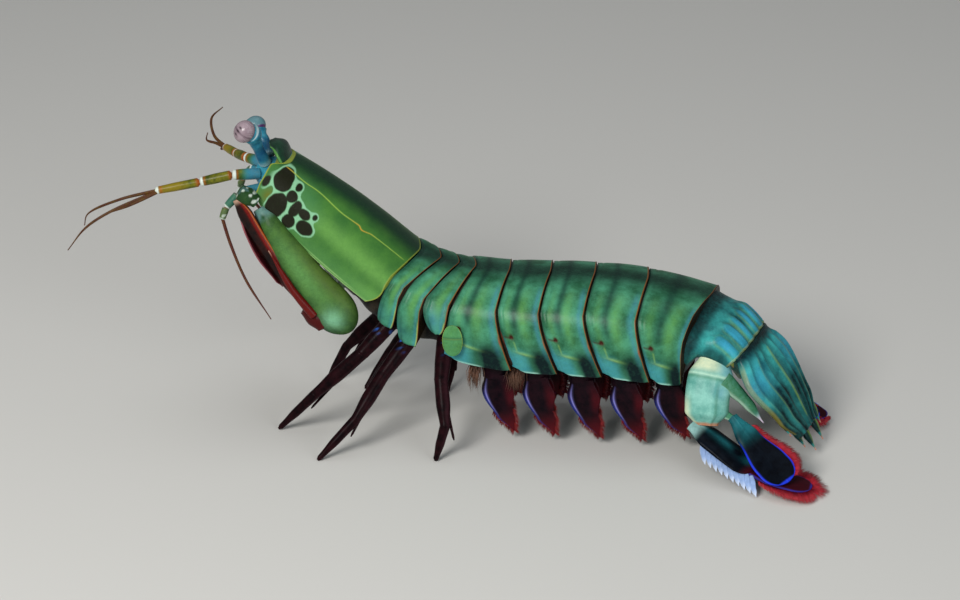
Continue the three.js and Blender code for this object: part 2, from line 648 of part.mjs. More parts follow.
// Mouth limbs: three small folded limbs on each side, between the striking claws.
function mouthLimbs(sign) {
  const limbs = [0, 1, 2].map((row) => {
    const [x, z] = [mix(-39, -27.5, row / 2), mix(45.5, 34.4, row / 2)];
    const out = sign * mix(3.2, 4.4, row / 2);
    return joined([
      rod(vec(x + 3, out, z + 3), vec(x - 2.2, out * 1.1, z - 2.8), 1.2, 0.9, { sides: 6 }),
      rod(vec(x - 2, out * 1.1, z - 2.6), vec(x - 5.4, out * 1.2, z + 1.4), 0.9, 0.7, { sides: 6 }),
    ]);
  });
  const bar = rod(vec(-42, sign * 3, 51), vec(-22, sign * 4.6, 32.6), 1.3, 1.3, { sides: 6 });
  return joined([bar, ...limbs]);
}

// Eyes

const EYES = {
  left: { root: vec(-44.6, -2.2, 64), bend: vec(-45.6, -4.6, 68.6), neck: vec(-46.6, -7.4, 73.3), look: vec(-0.55, -0.72, 0.42) },
  right: { root: vec(-44.6, 2.2, 64), bend: vec(-45.8, 4.4, 66.2), neck: vec(-47.9, 6.2, 67.7), look: vec(-0.45, 0.55, 0.7) },
};
function eyeStalk({ root, bend, neck, look }) {
  return swept({
    path: [root, bend, neck, neck.clone().addScaledVector(look.clone().normalize(), 1)],
    wide: eased([[0, 1.4], [0.45, 1.3], [0.7, 1.7], [0.92, 2.3], [1, 2]]),
    side: vec(0.3, 1, 0.2),
    steps: 7,
    sides: 10,
  });
}
function cornea({ neck, look }) {
  const out = look.clone().normalize();
  const across = vec(0.6, 0, 0.8).addScaledVector(out, -out.dot(vec(0.6, 0, 0.8))).normalize();
  const middle = neck.clone().addScaledVector(out, 2);
  const turn = new THREE.Matrix4().makeBasis(across, out, across.clone().cross(out));
  return solidOf(new THREE.SphereGeometry(EYE_RADIUS, 14, 9).scale(1.12, 0.95, 1).applyMatrix4(turn).translate(...middle.toArray()));
}

// Feelers

const whip = (path, radius = FEELER_RADIUS) =>
  swept({ path, wide: eased([[0, radius * 1.3], [0.6, radius], [1, 0.12]]), steps: 9, sides: 5, side: vec(0.2, 1, 0.4) });
const ANTENNULES = {
  left: {
    joints: [vec(-45.2, -3.2, 61.6), vec(-51.9, -5, 61.6), vec(-59.3, -6, 59.8), vec(-69.6, -8, 57.8)],
    whips: [
      [vec(-69, -7.8, 57.9), vec(-78.4, -8, 55), vec(-86.4, -7, 50.4), vec(-87.4, -6.6, 47.4)],
      [vec(-69, -8, 57.7), vec(-80.1, -10, 52.7), vec(-86, -11, 48.6), vec(-90.2, -12, 43.2)],
      [vec(-69, -8.2, 57.6), vec(-74, -11, 55.6), vec(-79, -15, 54.6)],
    ],
  },
  right: {
    joints: [vec(-45.2, 3.2, 61.6), vec(-51.4, 8.4, 60.6), vec(-54.8, 13, 59.6), vec(-58.6, 18, 59)],
    whips: [
      [vec(-58.2, 17.6, 59), vec(-62.2, 22, 60.2), vec(-63.6, 26, 63), vec(-61.7, 30, 64.4)],
      [vec(-58.2, 17.6, 58.9), vec(-61.6, 21, 58.6), vec(-64.6, 24, 58.2), vec(-64.6, 25.4, 59.4)],
      [vec(-58.2, 17.8, 58.8), vec(-60.6, 22.6, 56.6), vec(-61.4, 27.6, 54.4)],
    ],
  },
};
function antennule({ joints: [base, first, second, third], whips }) {
  return joined([
    rod(base, first, 1.3, 1.2, { sides: 7 }),
    rod(first, second, 1.15, 1.1, { sides: 7 }),
    rod(second, third, 1.05, 0.9, { sides: 7 }),
    ...whips.map((path) => whip(path)),
  ]);
}

const ANTENNAE = {
  left: {
    joints: [vec(-44.4, -5, 58.6), vec(-50, -8, 58), vec(-52.6, -9, 55.1), vec(-53.5, -10, 52.4)],
    whip: [vec(-53.4, -10, 52.8), vec(-51.4, -11, 46.6), vec(-47.6, -13, 38.6), vec(-41.3, -16, 30.4)],
  },
  right: {
    joints: [vec(-44.4, 5, 58.6), vec(-50, 8, 58), vec(-52.6, 9, 55.1), vec(-53.5, 10, 52.4)],
    whip: [vec(-53.4, 10, 52.8), vec(-50.8, 14, 46.4), vec(-46.6, 19.6, 38.4), vec(-41.4, 23, 31.4)],
  },
};
function antenna({ joints: [base, first, second, third], whip: path }) {
  return joined([
    rod(base, first, 1.5, 1.4, { sides: 7 }),
    rod(first, second, 1, 0.9, { sides: 7 }),
    rod(second, third, 0.85, 0.75, { sides: 7 }),
    whip(path),
  ]);
}

// The oval scale beside each antenna, hanging in front of the claws.
function antennalScale(sign) {
  return swept({
    path: [vec(-49.6, sign * 10.2, 56), vec(-45.9, sign * 11, 47.4), vec(-39, sign * 12.4, 37.4)],
    wide: eased([[0, 1.1], [0.3, 2.6], [0.6, 3.2], [0.9, 2.2], [1, 0.8]]),
    thick: eased([[0, 0.6], [0.5, 0.4], [1, 0.3]]),
    side: vec(0, 1, 0),
    steps: 6,
    sides: 8,
  });
}

// Assembly

const COLOURS = {
  shell: [0x2f6b45, 0.32],
  olive: [0x4c7a2e, 0.32],
  tail: [0x2c7f86, 0.35],
  pale: [0xa9cdb4, 0.4],
  fan: [0x8c0f1c, 0.5],
  ink: [0x10131f, 0.4],
  leg: [0x3a0d14, 0.35],
  club: [0x7c0d10, 0.3],
  eye: [0x9a8089, 0.2],
  stalk: [0x1f7f9c, 0.35],
  feeler: [0x8a5a14, 0.4],
};
const group = new THREE.Group();
function add(name, solid, colour) {
  const [color, roughness] = COLOURS[colour];
  const clean = largest(solidOf(geometryOf(solid.simplify(0.055))));
  const mesh = new THREE.Mesh(geometryOf(clean), new THREE.MeshStandardMaterial({ color, roughness, metalness: 0 }));
  mesh.name = name;
  group.add(mesh);
  return clean;
}

const SIDES = [["left", LEFT], ["right", RIGHT]];
const shield = add("carapace", carapace(), "olive");
const faceBlock = seated(head(), shield);
add("head", faceBlock, "stalk");
add("rostral_plate", seated(rostralPlate(), shield, faceBlock), "olive");
const saddles = [];
for (const number of [6, 7, 8]) {
  saddles.push(add(`thorax_${number}`, seated(thoraxRing(number), saddles.at(-1) ?? shield), "shell"));
}
const rings = [1, 2, 3, 4, 5].map((number) => {
  const ring = abdomenRing(number);
  const whole = number === 1 ? seated(joined([ring, ovalPlate(LEFT), ovalPlate(RIGHT)]), saddles[2]) : ring;
  return add(`abdomen_${number}`, whole, "shell");
});
const six = add("abdomen_6", seated(abdomenSix(), rings[4]), "tail");
const fan = add("telson", seated(telson(), six), "tail");
const core = add("trunk", seated(trunk(), shield, ...saddles, rings[0], faceBlock), "ink");

for (const [side, sign] of SIDES) {
  const stalk = add(`eye_stalk_${side}`, seated(eyeStalk(EYES[side]), faceBlock), "stalk");
  add(`eye_${side}`, seated(cornea(EYES[side]), stalk), "eye");
  const feeler = add(`antennule_${side}`, seated(antennule(ANTENNULES[side]), faceBlock), "feeler");
  const second = add(`antenna_${side}`, seated(antenna(ANTENNAE[side]), shield, faceBlock, feeler), "feeler");
  const scale = add(`antennal_scale_${side}`, seated(antennalScale(sign), second, faceBlock), "fan");
  const thigh = add(`claw_merus_${side}`, seated(merus(sign), shield, core, faceBlock, second), "olive");
  const wrist = add(`claw_carpus_${side}`, seated(carpus(sign), shield, thigh, faceBlock, second), "pale");
  const shaft = add(`claw_propodus_${side}`, seated(propodus(sign), wrist, thigh, second, scale), "ink");
  add(`claw_club_${side}`, seated(dactyl(sign), shaft, thigh, scale), "club");
  add(`mouth_limbs_${side}`, seated(mouthLimbs(sign), core, thigh, faceBlock), "pale");
  LEGS[side].forEach((joints, row) => {
    const parents = [core, thigh, ...saddles, ...(row === 2 ? [rings[0]] : [])];
    const spread = row === 2 && sign === RIGHT ? 1.4 : 3.2;
    add(`walking_leg_${row + 1}_${side}`, seated(onFloor(walkingLeg(joints, spread)), ...parents), "leg");
  });
  SWIMMING_LEGS.forEach((_, row) => {
    const parents = rings.slice(Math.max(0, row - 1), row + 2);
    add(`swimming_leg_${row + 1}_${side}`, seated(swimmingLeg(row, sign), ...parents), "ink");
  });
  const stem = add(`uropod_base_${side}`, seated(protopod(STEMS[side], sign), six, rings[4], fan), "pale");
  const outer = add(`uropod_outer_${side}`, seated(onFloor(exopod(FAN[side], sign)), stem, fan), "fan");
  add(`uropod_inner_${side}`, seated(endopod(FAN[side], sign), stem, outer, fan), "ink");
}

group.position.set(FLOOR_SHIFT[0], FLOOR_SHIFT[1], 0);
export default group;
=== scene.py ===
import bpy
import numpy as np
from mathutils import Matrix, Vector


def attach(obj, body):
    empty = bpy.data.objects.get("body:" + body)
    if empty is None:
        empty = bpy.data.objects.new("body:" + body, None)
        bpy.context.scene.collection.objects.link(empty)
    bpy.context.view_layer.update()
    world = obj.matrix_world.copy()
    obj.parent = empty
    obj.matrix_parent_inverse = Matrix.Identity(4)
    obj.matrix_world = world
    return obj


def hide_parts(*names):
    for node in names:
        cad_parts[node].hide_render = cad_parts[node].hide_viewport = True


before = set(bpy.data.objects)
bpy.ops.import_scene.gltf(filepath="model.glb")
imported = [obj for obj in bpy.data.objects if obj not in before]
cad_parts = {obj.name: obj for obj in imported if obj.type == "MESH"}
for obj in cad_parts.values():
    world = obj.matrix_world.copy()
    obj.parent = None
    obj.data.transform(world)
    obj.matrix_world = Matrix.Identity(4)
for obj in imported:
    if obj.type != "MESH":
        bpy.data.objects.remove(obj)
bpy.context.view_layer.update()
WHOLE = np.array([-0.67, 1.7, 0.0])  # puts the middle of the outline over the origin

# Floor, light and camera. The floor is one plain pale sheet, the light comes from three soft panels,
# and the camera looks a little down on the animal's left side, as the photograph does.
TURN, RISE = np.radians(8.0), np.radians(25.0)
CAMERA_REACH = 700.0
LENS = 111.56
LOOK_AT = np.array([5.5, 0.0, 31.0])
back = np.array([np.sin(TURN) * np.cos(RISE), -np.cos(TURN) * np.cos(RISE), np.sin(RISE)])
right = np.array([np.cos(TURN), np.sin(TURN), 0.0])
camera_data = bpy.data.cameras.new("camera")
camera_data.lens = LENS
camera_data.clip_start = 0.01
camera = bpy.data.objects.new("camera", camera_data)
bpy.context.scene.collection.objects.link(camera)
turned = Matrix([right, np.cross(back, right), back]).transposed().to_4x4()
camera.matrix_world = Matrix.Translation((LOOK_AT + WHOLE + CAMERA_REACH * back) / 1000) @ turned
bpy.context.scene.camera = camera
bpy.context.scene.view_settings.view_transform = "Standard"

FLOOR_SIZE = 6.0
floor_mesh = bpy.data.meshes.new("floor")
corner = FLOOR_SIZE / 2
floor_mesh.from_pydata(
    [(-corner, -corner, 0), (corner, -corner, 0), (corner, corner, 0), (-corner, corner, 0)], [],
    [(0, 1, 2, 3)],
)
floor = bpy.data.objects.new("floor", floor_mesh)
bpy.context.scene.collection.objects.link(floor)
floor_paint = bpy.data.materials.new("pale_floor")
floor_paint.use_nodes = True
floor_shader = floor_paint.node_tree.nodes["Principled BSDF"]
floor_shader.inputs["Base Color"].default_value = (0.58, 0.575, 0.55, 1)
floor_shader.inputs["Roughness"].default_value = 0.85
floor_mesh.materials.append(floor_paint)

PANELS = {  # place in metres, size, watts, colour
    "key": ((-0.25, -0.6, 0.5), 0.35, 6.0, (1.0, 0.98, 0.95)),
    "fill": ((0.55, -0.6, 0.25), 0.5, 2.0, (0.92, 0.97, 1.0)),
    "above": ((0.1, 0.1, 0.8), 0.5, 0.9, (0.95, 0.98, 1.0)),
}
for name, (place, size, watts, colour) in PANELS.items():
    panel = bpy.data.lights.new(name, "AREA")
    panel.shape = "DISK"
    panel.size, panel.energy, panel.color = size, watts, colour
    lamp = bpy.data.objects.new(name, panel)
    lamp.location = place
    lamp.rotation_euler = (Vector((0, 0, 0.03)) - Vector(place)).to_track_quat("-Z", "Y").to_euler()
    bpy.context.scene.collection.objects.link(lamp)
world = bpy.data.worlds.new("room")
world.use_nodes = True
world.node_tree.nodes["Background"].inputs["Color"].default_value = (0.93, 0.96, 1.0, 1)
world.node_tree.nodes["Background"].inputs["Strength"].default_value = 0.22
bpy.context.scene.world = world

# Carapace. One smooth chalky shield over the fore body, with two fine pale grooves along it that turn
# amber at a kink, a pale rim, and black spots in a mint net on each cheek. It is the first shell made,
# so the tools for shaping a shell and for painting it are made here.


def step(low, high, value):
    """3t^2 - 2t^3 for the share t of the way that value is from low to high, held between 0 and 1."""
    t = np.clip((value - low) / (high - low), 0, 1)
    return t * t * (3 - 2 * t)


def hump(value, middle, width):
    """exp(-((value - middle) / width)^2): 1 at the middle, fading on both sides."""
    return np.exp(-(((value - middle) / width) ** 2))


def eased(*pairs):
    """A function of t that goes through (place, value) pairs, easing by 3s^2 - 2s^3 between them."""
    places, values = np.array(pairs, float).T

    def at(t):
        i = np.clip(np.searchsorted(places, t), 1, len(places) - 1)
        s = np.clip((t - places[i - 1]) / (places[i] - places[i - 1]), 0, 1)
        return values[i - 1] + (values[i] - values[i - 1]) * s * s * (3 - 2 * s)

    return at


def mixed(start, end, t):
    """start + (end - start) t."""
    return start + (end - start) * t


def ripple(points, size, seed):
    """The mean of eight seeded sine waves over x, y and z, a smooth unevenness between -1 and 1."""
    draw = np.random.default_rng(seed)
    waves = draw.normal(size=(8, 3)) * 2 / size
    return np.sin(points @ waves.T + draw.uniform(0, 2 * np.pi, 8)).mean(-1) * 1.8


def outward(grid):
    """Unit normals of a grid that wraps in its second direction: the cross product of its two slopes."""
    along = np.gradient(grid, axis=0)
    across = (np.roll(grid, -1, 1) - np.roll(grid, 1, 1)) / 2
    normal = np.cross(across, along)
    normal /= np.maximum(np.linalg.norm(normal, axis=-1, keepdims=True), 1e-9)
    side = np.sum(normal * (grid - grid.mean(1, keepdims=True)))
    return normal if side > 0 else -normal


def lifted(grid, height):
    """The grid moved out along its normals by a height in millimetres."""
    return grid + outward(grid) * np.broadcast_to(height, grid.shape[:2])[..., None]


def tube(grid, flat_ends=False, **marks):
    """A closed body over a grid that wraps in its second direction: four-sided faces between the rings,
    and at each end a fan to the ring's middle, or one flat face."""
    rows, cols, _ = grid.shape
    points = grid.reshape(-1, 3)
    i, j = np.arange(rows - 1)[:, None] * cols, np.arange(cols)[None]
    k = (j + 1) % cols
    quads = np.stack([i + j, i + k, i + cols + k, i + cols + j], -1).reshape(-1, 4)
    marks = {key: np.broadcast_to(value, (rows, cols)).ravel() for key, value in marks.items()}
    last = (rows - 1) * cols
    j, k = j[0], k[0]
    if flat_ends:
        caps = [j[::-1], last + j]
    else:
        middles = grid[[0, -1]].mean(1)
        points = np.vstack([points, middles])
        marks = {key: np.append(value, [value[0], value[-1]]) for key, value in marks.items()}
        caps = list(np.stack([k, j, np.full(cols, rows * cols)], -1))
        caps += list(np.stack([last + j, last + k, np.full(cols, rows * cols + 1)], -1))
    a, b, c, d = (points[quads[:, corner]] for corner in range(4))
    middle = points.mean(0)
    a, b, c, d = (p - middle for p in (a, b, c, d))
    volume = np.sum(a * np.cross(b, c)) + np.sum(a * np.cross(c, d))
    if volume < 0:
        quads, caps = quads[:, ::-1], [cap[::-1] for cap in caps]
    return {"points": points, "faces": quads, "caps": caps, "marks": marks, "sharp": flat_ends}


def piece(name, parts, material, slot, *nodes):
    """One mesh from closed bodies in millimetres, riding on the animal in place of its CAD nodes."""
    starts = np.cumsum([0] + [len(part["points"]) for part in parts])
    points = (np.vstack([part["points"] for part in parts]) + WHOLE) / 1000
    faces, smooth = [], []
    for start, part in zip(starts, parts):
        caps = [(start + cap).tolist() for cap in part["caps"]]
        faces += (start + part["faces"]).tolist() + caps
        smooth += [True] * len(part["faces"]) + [not part["sharp"]] * len(caps)
    mesh = bpy.data.meshes.new(name)
    mesh.from_pydata(points, [], faces)
    mesh.polygons.foreach_set("use_smooth", smooth)
    for key in sorted({key for part in parts for key in part["marks"]}):
        values = [part["marks"].get(key, np.zeros(len(part["points"]))) for part in parts]
        mesh.attributes.new(key, "FLOAT", "POINT").data.foreach_set("value", np.concatenate(values))
    mesh.materials.append(material)
    mesh.update()
    made = bpy.data.objects.new(name, mesh)
    bpy.context.scene.collection.objects.link(made)
    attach(made, "root")
    if nodes:
        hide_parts(*nodes)
    return made


def tint(code):
    """A colour from its six-figure code, with each channel c made linear: ((c + 0.055) / 1.055)^2.4."""
    channels = np.array([int(code[i : i + 2], 16) for i in (0, 2, 4)]) / 255
    return (*np.where(channels < 0.04, channels / 12.92, ((channels + 0.055) / 1.055) ** 2.4), 1.0)


def group(name, inputs, outputs):
    """An empty shader node group with named sockets, its inlet and its outlet."""
    tree = bpy.data.node_groups.new(name, "ShaderNodeTree")
    for label, kind, value in inputs:
        tree.interface.new_socket(label, in_out="INPUT", socket_type=kind).default_value = value
    for label, kind in outputs:
        tree.interface.new_socket(label, in_out="OUTPUT", socket_type=kind)
    return tree, tree.nodes.new("NodeGroupInput").outputs, tree.nodes.new("NodeGroupOutput").inputs


def joined(tree, kind, links, **settings):
    """A new node in a tree, with its settings, and its inputs linked from sockets or set to values."""
    node = tree.nodes.new(kind)
    for key, value in settings.items():
        setattr(node, key, value)
    for key, value in links.items():
        if isinstance(value, bpy.types.NodeSocket):
            tree.links.new(value, node.inputs[key])
        else:
            node.inputs[key].default_value = value
    return node


def maths(tree, operation, *values, **settings):
    """The result of one sum on sockets or values."""
    links = dict(enumerate(values))
    return joined(tree, "ShaderNodeMath", links, operation=operation, **settings).outputs[0]


# Living shell: two tones clouded together at one size, a fine stipple, and shallow pits.
GREY = (0.5, 0.5, 0.5, 1)
FLOAT, COLOUR = "NodeSocketFloat", "NodeSocketColor"
clouded, inlet, outlet = group(
    "clouded_shell",
    [
        ("Deep", COLOUR, GREY), ("Light", COLOUR, GREY), ("Size", FLOAT, 3.0), ("Stipple", FLOAT, 0.3),
        ("Gloss", FLOAT, 0.3),
    ],
    [("Colour", COLOUR), ("Roughness", FLOAT), ("Height", FLOAT)],
)
place = joined(clouded, "ShaderNodeTexCoord", {}).outputs["Object"]
per_metre = maths(clouded, "DIVIDE", 1000.0, inlet["Size"])
cloud = joined(
    clouded, "ShaderNodeTexNoise", {"Vector": place, "Scale": per_metre, "Detail": 5.0, "Roughness": 0.6},
)
ramp = joined(clouded, "ShaderNodeMapRange", {0: cloud.outputs["Fac"], 1: 0.36, 2: 0.66})
dots = joined(
    clouded, "ShaderNodeTexNoise", {"Vector": place, "Scale": 2600.0, "Detail": 3.0, "Roughness": 0.7},
)
centred = maths(clouded, "SUBTRACT", dots.outputs["Fac"], 0.5)
strong = maths(clouded, "MULTIPLY", centred, inlet["Stipple"])
share = maths(clouded, "ADD", ramp.outputs[0], strong, use_clamp=True)
tones = joined(
    clouded, "ShaderNodeMix", {"Factor": share, "A": inlet["Deep"], "B": inlet["Light"]}, data_type="RGBA"
)
clouded.links.new(tones.outputs["Result"], outlet["Colour"])
spread = maths(clouded, "MULTIPLY_ADD", centred, 0.35, inlet["Gloss"], use_clamp=True)
clouded.links.new(spread, outlet["Roughness"])
pits = joined(clouded, "ShaderNodeTexVoronoi", {"Vector": place, "Scale": 1500.0, "Randomness": 1.0})
pit = joined(clouded, "ShaderNodeMapRange", {0: pits.outputs["Distance"], 1: 0.0, 2: 0.45})
relief = maths(clouded, "MULTIPLY_ADD", dots.outputs["Fac"], 0.8, pit.outputs[0])
clouded.links.new(relief, outlet["Height"])

# A patch of pigment over shell: its mask is broken up by the cloudiness of living tissue.
pigment, inlet, outlet = group(
    "pigment",
    [("Under", COLOUR, GREY), ("Pigment", COLOUR, GREY), ("Mask", FLOAT, 0.0), ("Break", FLOAT, 0.3)],
    [("Colour", COLOUR)],
)
place = joined(pigment, "ShaderNodeTexCoord", {}).outputs["Object"]
specks = joined(
    pigment, "ShaderNodeTexNoise", {"Vector": place, "Scale": 1300.0, "Detail": 4.0, "Roughness": 0.65},
)
centred = maths(pigment, "SUBTRACT", specks.outputs["Fac"], 0.5)
broken = maths(pigment, "MULTIPLY", centred, inlet["Break"])
worn = maths(pigment, "MULTIPLY_ADD", broken, 2.4, 1.0)
held = maths(pigment, "MULTIPLY", inlet["Mask"], worn, use_clamp=True)
laid = joined(
    pigment, "ShaderNodeMix", {"Factor": held, "A": inlet["Under"], "B": inlet["Pigment"]},
    data_type="RGBA",
)
pigment.links.new(laid.outputs["Result"], outlet["Colour"])


def shell(name, deep, light, patches=(), size=3.0, stipple=0.35, gloss=0.3, wet=0.5, relief=0.12, shine=0.1):
    """A shell material: the clouded ground, then each patch of pigment (mark, colour, break) over it."""
    material = bpy.data.materials.new(name)
    material.use_nodes = True
    tree = material.node_tree
    shader = tree.nodes["Principled BSDF"]
    ground = joined(tree, "ShaderNodeGroup", {}, node_tree=clouded)
    for label, value in (
        ("Deep", tint(deep)), ("Light", tint(light)), ("Size", size), ("Stipple", stipple),
        ("Gloss", gloss),
    ):
        ground.inputs[label].default_value = value
    colour = ground.outputs["Colour"]
    for mark, code, breaking in patches:
        mask = joined(tree, "ShaderNodeAttribute", {}, attribute_name=mark).outputs["Fac"]
        patch = joined(tree, "ShaderNodeGroup", {}, node_tree=pigment)
        tree.links.new(colour, patch.inputs["Under"])
        tree.links.new(mask, patch.inputs["Mask"])
        patch.inputs["Pigment"].default_value, patch.inputs["Break"].default_value = tint(code), breaking
        colour = patch.outputs["Colour"]
    tree.links.new(colour, shader.inputs["Base Color"])
    tree.links.new(ground.outputs["Roughness"], shader.inputs["Roughness"])
    bump = joined(
        tree, "ShaderNodeBump",
        {"Height": ground.outputs["Height"], "Strength": relief, "Distance": 0.0002},
    )
    tree.links.new(bump.outputs["Normal"], shader.inputs["Normal"])
    shader.inputs["Coat Weight"].default_value = wet
    shader.inputs["Coat Roughness"].default_value = 0.22
    shader.inputs["Specular IOR Level"].default_value = shine
    return material


# The back line: x and z, the lean of each ring's plane, half width, and depth down to the side plates.
RINGS = np.array(
    [
        [-38.2, 65.0, 36.3, 9.5, 11.0], [-8.4, 43.1, 34, 14.5, 12.5], [-3.4, 41.3, 27, 14.3, 17],
        [0.9, 40.3, 18, 14.4, 18], [4.9, 39.8, 9, 14.8, 18.6], [12.8, 39.4, 3, 15.4, 19.4],
        [22.5, 39.7, 0, 15.8, 19.8], [32.9, 39.9, 0, 16, 20], [45.3, 39.2, 4, 15.8, 19.8],
        [60.2, 36.2, 12, 14.2, 18.4],
    ]
)
CARAPACE_ARCH, MARGIN_BOW, CARAPACE_DEPTH = 1.1, 0.7, 11.0
TAIL_TURN = np.radians(13.5)  # the tail is turned a little to the animal's left behind the fifth ring


def ring_at(place):
    """The back line between rings: straight along the carapace, and a cubic through four rings after it."""
    first = np.clip(np.floor(place).astype(int), 0, len(RINGS) - 2)
    s = (place - first)[..., None]
    before, start, end, after = (RINGS[np.clip(first + k, 0, len(RINGS) - 1)] for k in (-1, 0, 1, 2))
    leave, arrive = (end - before) / 2, (after - start) / 2
    cubic = (2 * s**3 - 3 * s**2 + 1) * start + (s**3 - 2 * s**2 + s) * leave
    cubic = cubic + (3 * s**2 - 2 * s**3) * end + (s**3 - s**2) * arrive
    return np.moveaxis(np.where((first < 2)[..., None], mixed(start, end, s), cubic), -1, 0)


def body_point(place, across, depth, behind=0.0):
    """A point across and down from the back line, in its ring's leaning plane, and behind that plane."""
    x, z, lean, _, _ = ring_at(place)
    lean = np.radians(lean)
    arch = np.where(place < 1, np.sin(np.clip(place, 0, 1) * np.pi), 0)
    down = depth + arch * mixed(-CARAPACE_ARCH, MARGIN_BOW, depth / CARAPACE_DEPTH)
    parts = (
        x - down * np.sin(lean) + behind * np.cos(lean), across,
        z - down * np.cos(lean) - behind * np.sin(lean),
    )
    return np.stack(np.broadcast_arrays(*parts), -1)


def arch_section(share):
    """A quarter of a rounded back: (sin a)^0.84 across and 1 - (cos a)^0.84 down, for a up to 90 degrees."""
    a = share * np.pi / 2
    return np.sin(a) ** 0.84, 1 - np.maximum(np.cos(a), 0) ** 0.84


def saddle_section(under):
    """The rounded back, with a shallower quarter ellipse below it, as shares of half width and depth."""

    def at(share):
        outer = arch_section(np.minimum(share * 2, 1))
        a = np.clip(share * 2 - 1, 0, 1) * np.pi / 2
        return np.where(share <= 0.5, outer, (0.97 * np.cos(a), 1 - (1 - under) * np.sin(a)))

    return at


def softened(values, reach):
    """A closed run of values, each made the mean of its neighbours, weighted by exp(-(k / reach)^2)."""
    steps = np.arange(-int(3 * reach), int(3 * reach) + 1)
    weights = np.exp(-((steps / reach) ** 2))
    return sum(w * np.roll(values, k, -1) for k, w in zip(steps, weights)) / weights.sum()


def bowed(forward, by, back, start):
    """A ring's edge, by depth share d: -forward (d / by)^0.5 as far as by, and past start it also goes
    back ((d - start) / (1 - start))^1.2."""

    def at(d):
        return (
            back * np.clip((d - start) / (1 - start), 0, None) ** 1.2
            - forward * np.clip(d / by, 0, 1) ** 0.5
        )

    return at


SHIELD_BOW = bowed(3, 0.35, 1.6, 0.5)
THORAX_BOW = bowed(4.9, 0.35, 3.2, 0.5)
LAST_THORAX_BOW = bowed(3.8, 0.35, 0.4, 0.5)


def whole_size(t, down=0):
    """The size 1 everywhere."""
    return 1


def body_ring(
    start, end, section, front, rear, rows, cols,
    flare=whole_size, deep=whole_size, trim=whole_size, soft=2.5, skew=0.0, covered=0.5,
):
    """One ring of the body. At share t along it the section is set at that place along the back, flared by
    flare(t) and deepened below by deep(t). It is moved behind its plane by front(down) at its front and
    rear(down) at its rear, and by tan(skew) t for each millimetre across. The share covered of the section
    is its outer side."""
    t = np.linspace(0, 1, rows)[:, None]
    turn = np.arange(cols) / cols
    share = 1 - np.abs(1 - 2 * turn)
    across, down = section(share)
    across = softened(np.where(turn < 0.5, -across, across), soft)[None]
    down = softened(down, soft)[None]
    place = mixed(start, end, t)
    _, _, _, width, depth = ring_at(place)
    down = down * trim(t, down)
    across = across * width * flare(t)
    behind = mixed(front(down), rear(down), t) + across * np.tan(skew) * t
    grid = body_point(place, across, down * depth * mixed(1, deep(t), down), behind)
    length = np.linalg.norm(np.diff(grid, axis=1, append=grid[:, :1]), axis=-1)
    arc = np.cumsum(length, 1) - length
    arc = np.minimum(arc, length.sum(1, keepdims=True) - arc)
    outer = np.broadcast_to(share <= covered, grid.shape[:2])
    return grid, t + 0 * arc, np.broadcast_to(down, arc.shape), arc, outer


CORNER_TOP, CORNER_CUT = 0.62, 25.2  # the depth where a corner starts, and how fast it is cut back


def rounded_corner(down):
    """How far the shield's corners are cut back from its ends, by depth: cut (down - top)^2."""
    return CORNER_CUT * np.maximum(0, down - CORNER_TOP) ** 2


grid, t, down, arc, outer = body_ring(
    0, 1, saddle_section(0.7),
    front=eased((0, 0), (0.2, -3.6), (0.5, -3.2), (0.85, -2.4), (1, 0.5)),
    rear=lambda down: -0.2 - rounded_corner(down) + SHIELD_BOW(down),
    rows=200, cols=480,
)
SHIELD_SLOPE = np.array([0.806, -0.592])  # the way back along the shield, as x and z
from_front = grid[..., [0, 2]] - RINGS[0, :2]
s = from_front @ SHIELD_SLOPE
n = from_front @ [-SHIELD_SLOPE[1], SHIELD_SLOPE[0]]
y = np.abs(grid[..., 1])
groove_y = (
    eased((0, 4.9), (0.25, 6.1), (0.55, 7.5), (1, 7.6))(t)
    + 0.5 * (step(0.63, 0.67, t) - step(0.67, 0.73, t))
)
groove = hump(y, groove_y, 0.1) * outer * step(0.02, 0.06, t) * (1 - step(0.95, 0.99, t))
edge = arc[:, [arc.shape[1] // 4]] - arc
margin = ((1 - step(0.16, 0.3, edge)) + hump(edge, 0.62, 0.1) * 0.5) * outer
hem = np.maximum(1 - step(0.004, 0.01, t), step(0.991, 0.996, t)) * outer
SPOTS = np.array([  # along the shield, out from its back line, and half sizes along and across
    [1.0, -2.9, 2.35, 2.3], [-2.1, -5.2, 0.8, 1.4], [3.0, -8.1, 2.3, 3.2],
    [4.8, -2.2, 0.8, 0.8], [4.7, -4.4, 1.3, 1.3], [7.0, -6.1, 1.2, 1.9], [9.4, -5.7, 1.5, 1.1],
    [7.4, -9.2, 1.6, 1.6], [11.3, -8.1, 2.2, 1.6], [11.9, -4.8, 0.6, 0.6],
])
wave = 0.12 * ripple(grid, 1.2, 5)
apart = np.stack([(np.hypot((s - a) / p, (n - b) / q) - 1) * min(p, q) for a, b, p, q in SPOTS]) + wave
away = apart.min(0)
spots = (1 - step(-0.12, 0.12, away)) * outer
net = (
    step(0.74, 0.92, np.exp(-((np.maximum(apart, 0) / 0.72) ** 2)).sum(0)) * (1 - spots) * outer
    * step(-2.8, -1.2, s)
)
clear = np.hypot((s - 4.5) / 10.5, (n + 5.6) / 6.6)
cheek = (1 - step(0.5, 1.05, clear)) * outer
relief = -0.1 * groove + 0.14 * hump(edge, 0.35, 0.28) * outer + 0.06 * hem
relief = relief + 0.05 * ripple(grid, 9, 3) * outer
amber = groove * (hump(t, 0.66, 0.07) + hump(t, 0.05, 0.05)) * 0.9
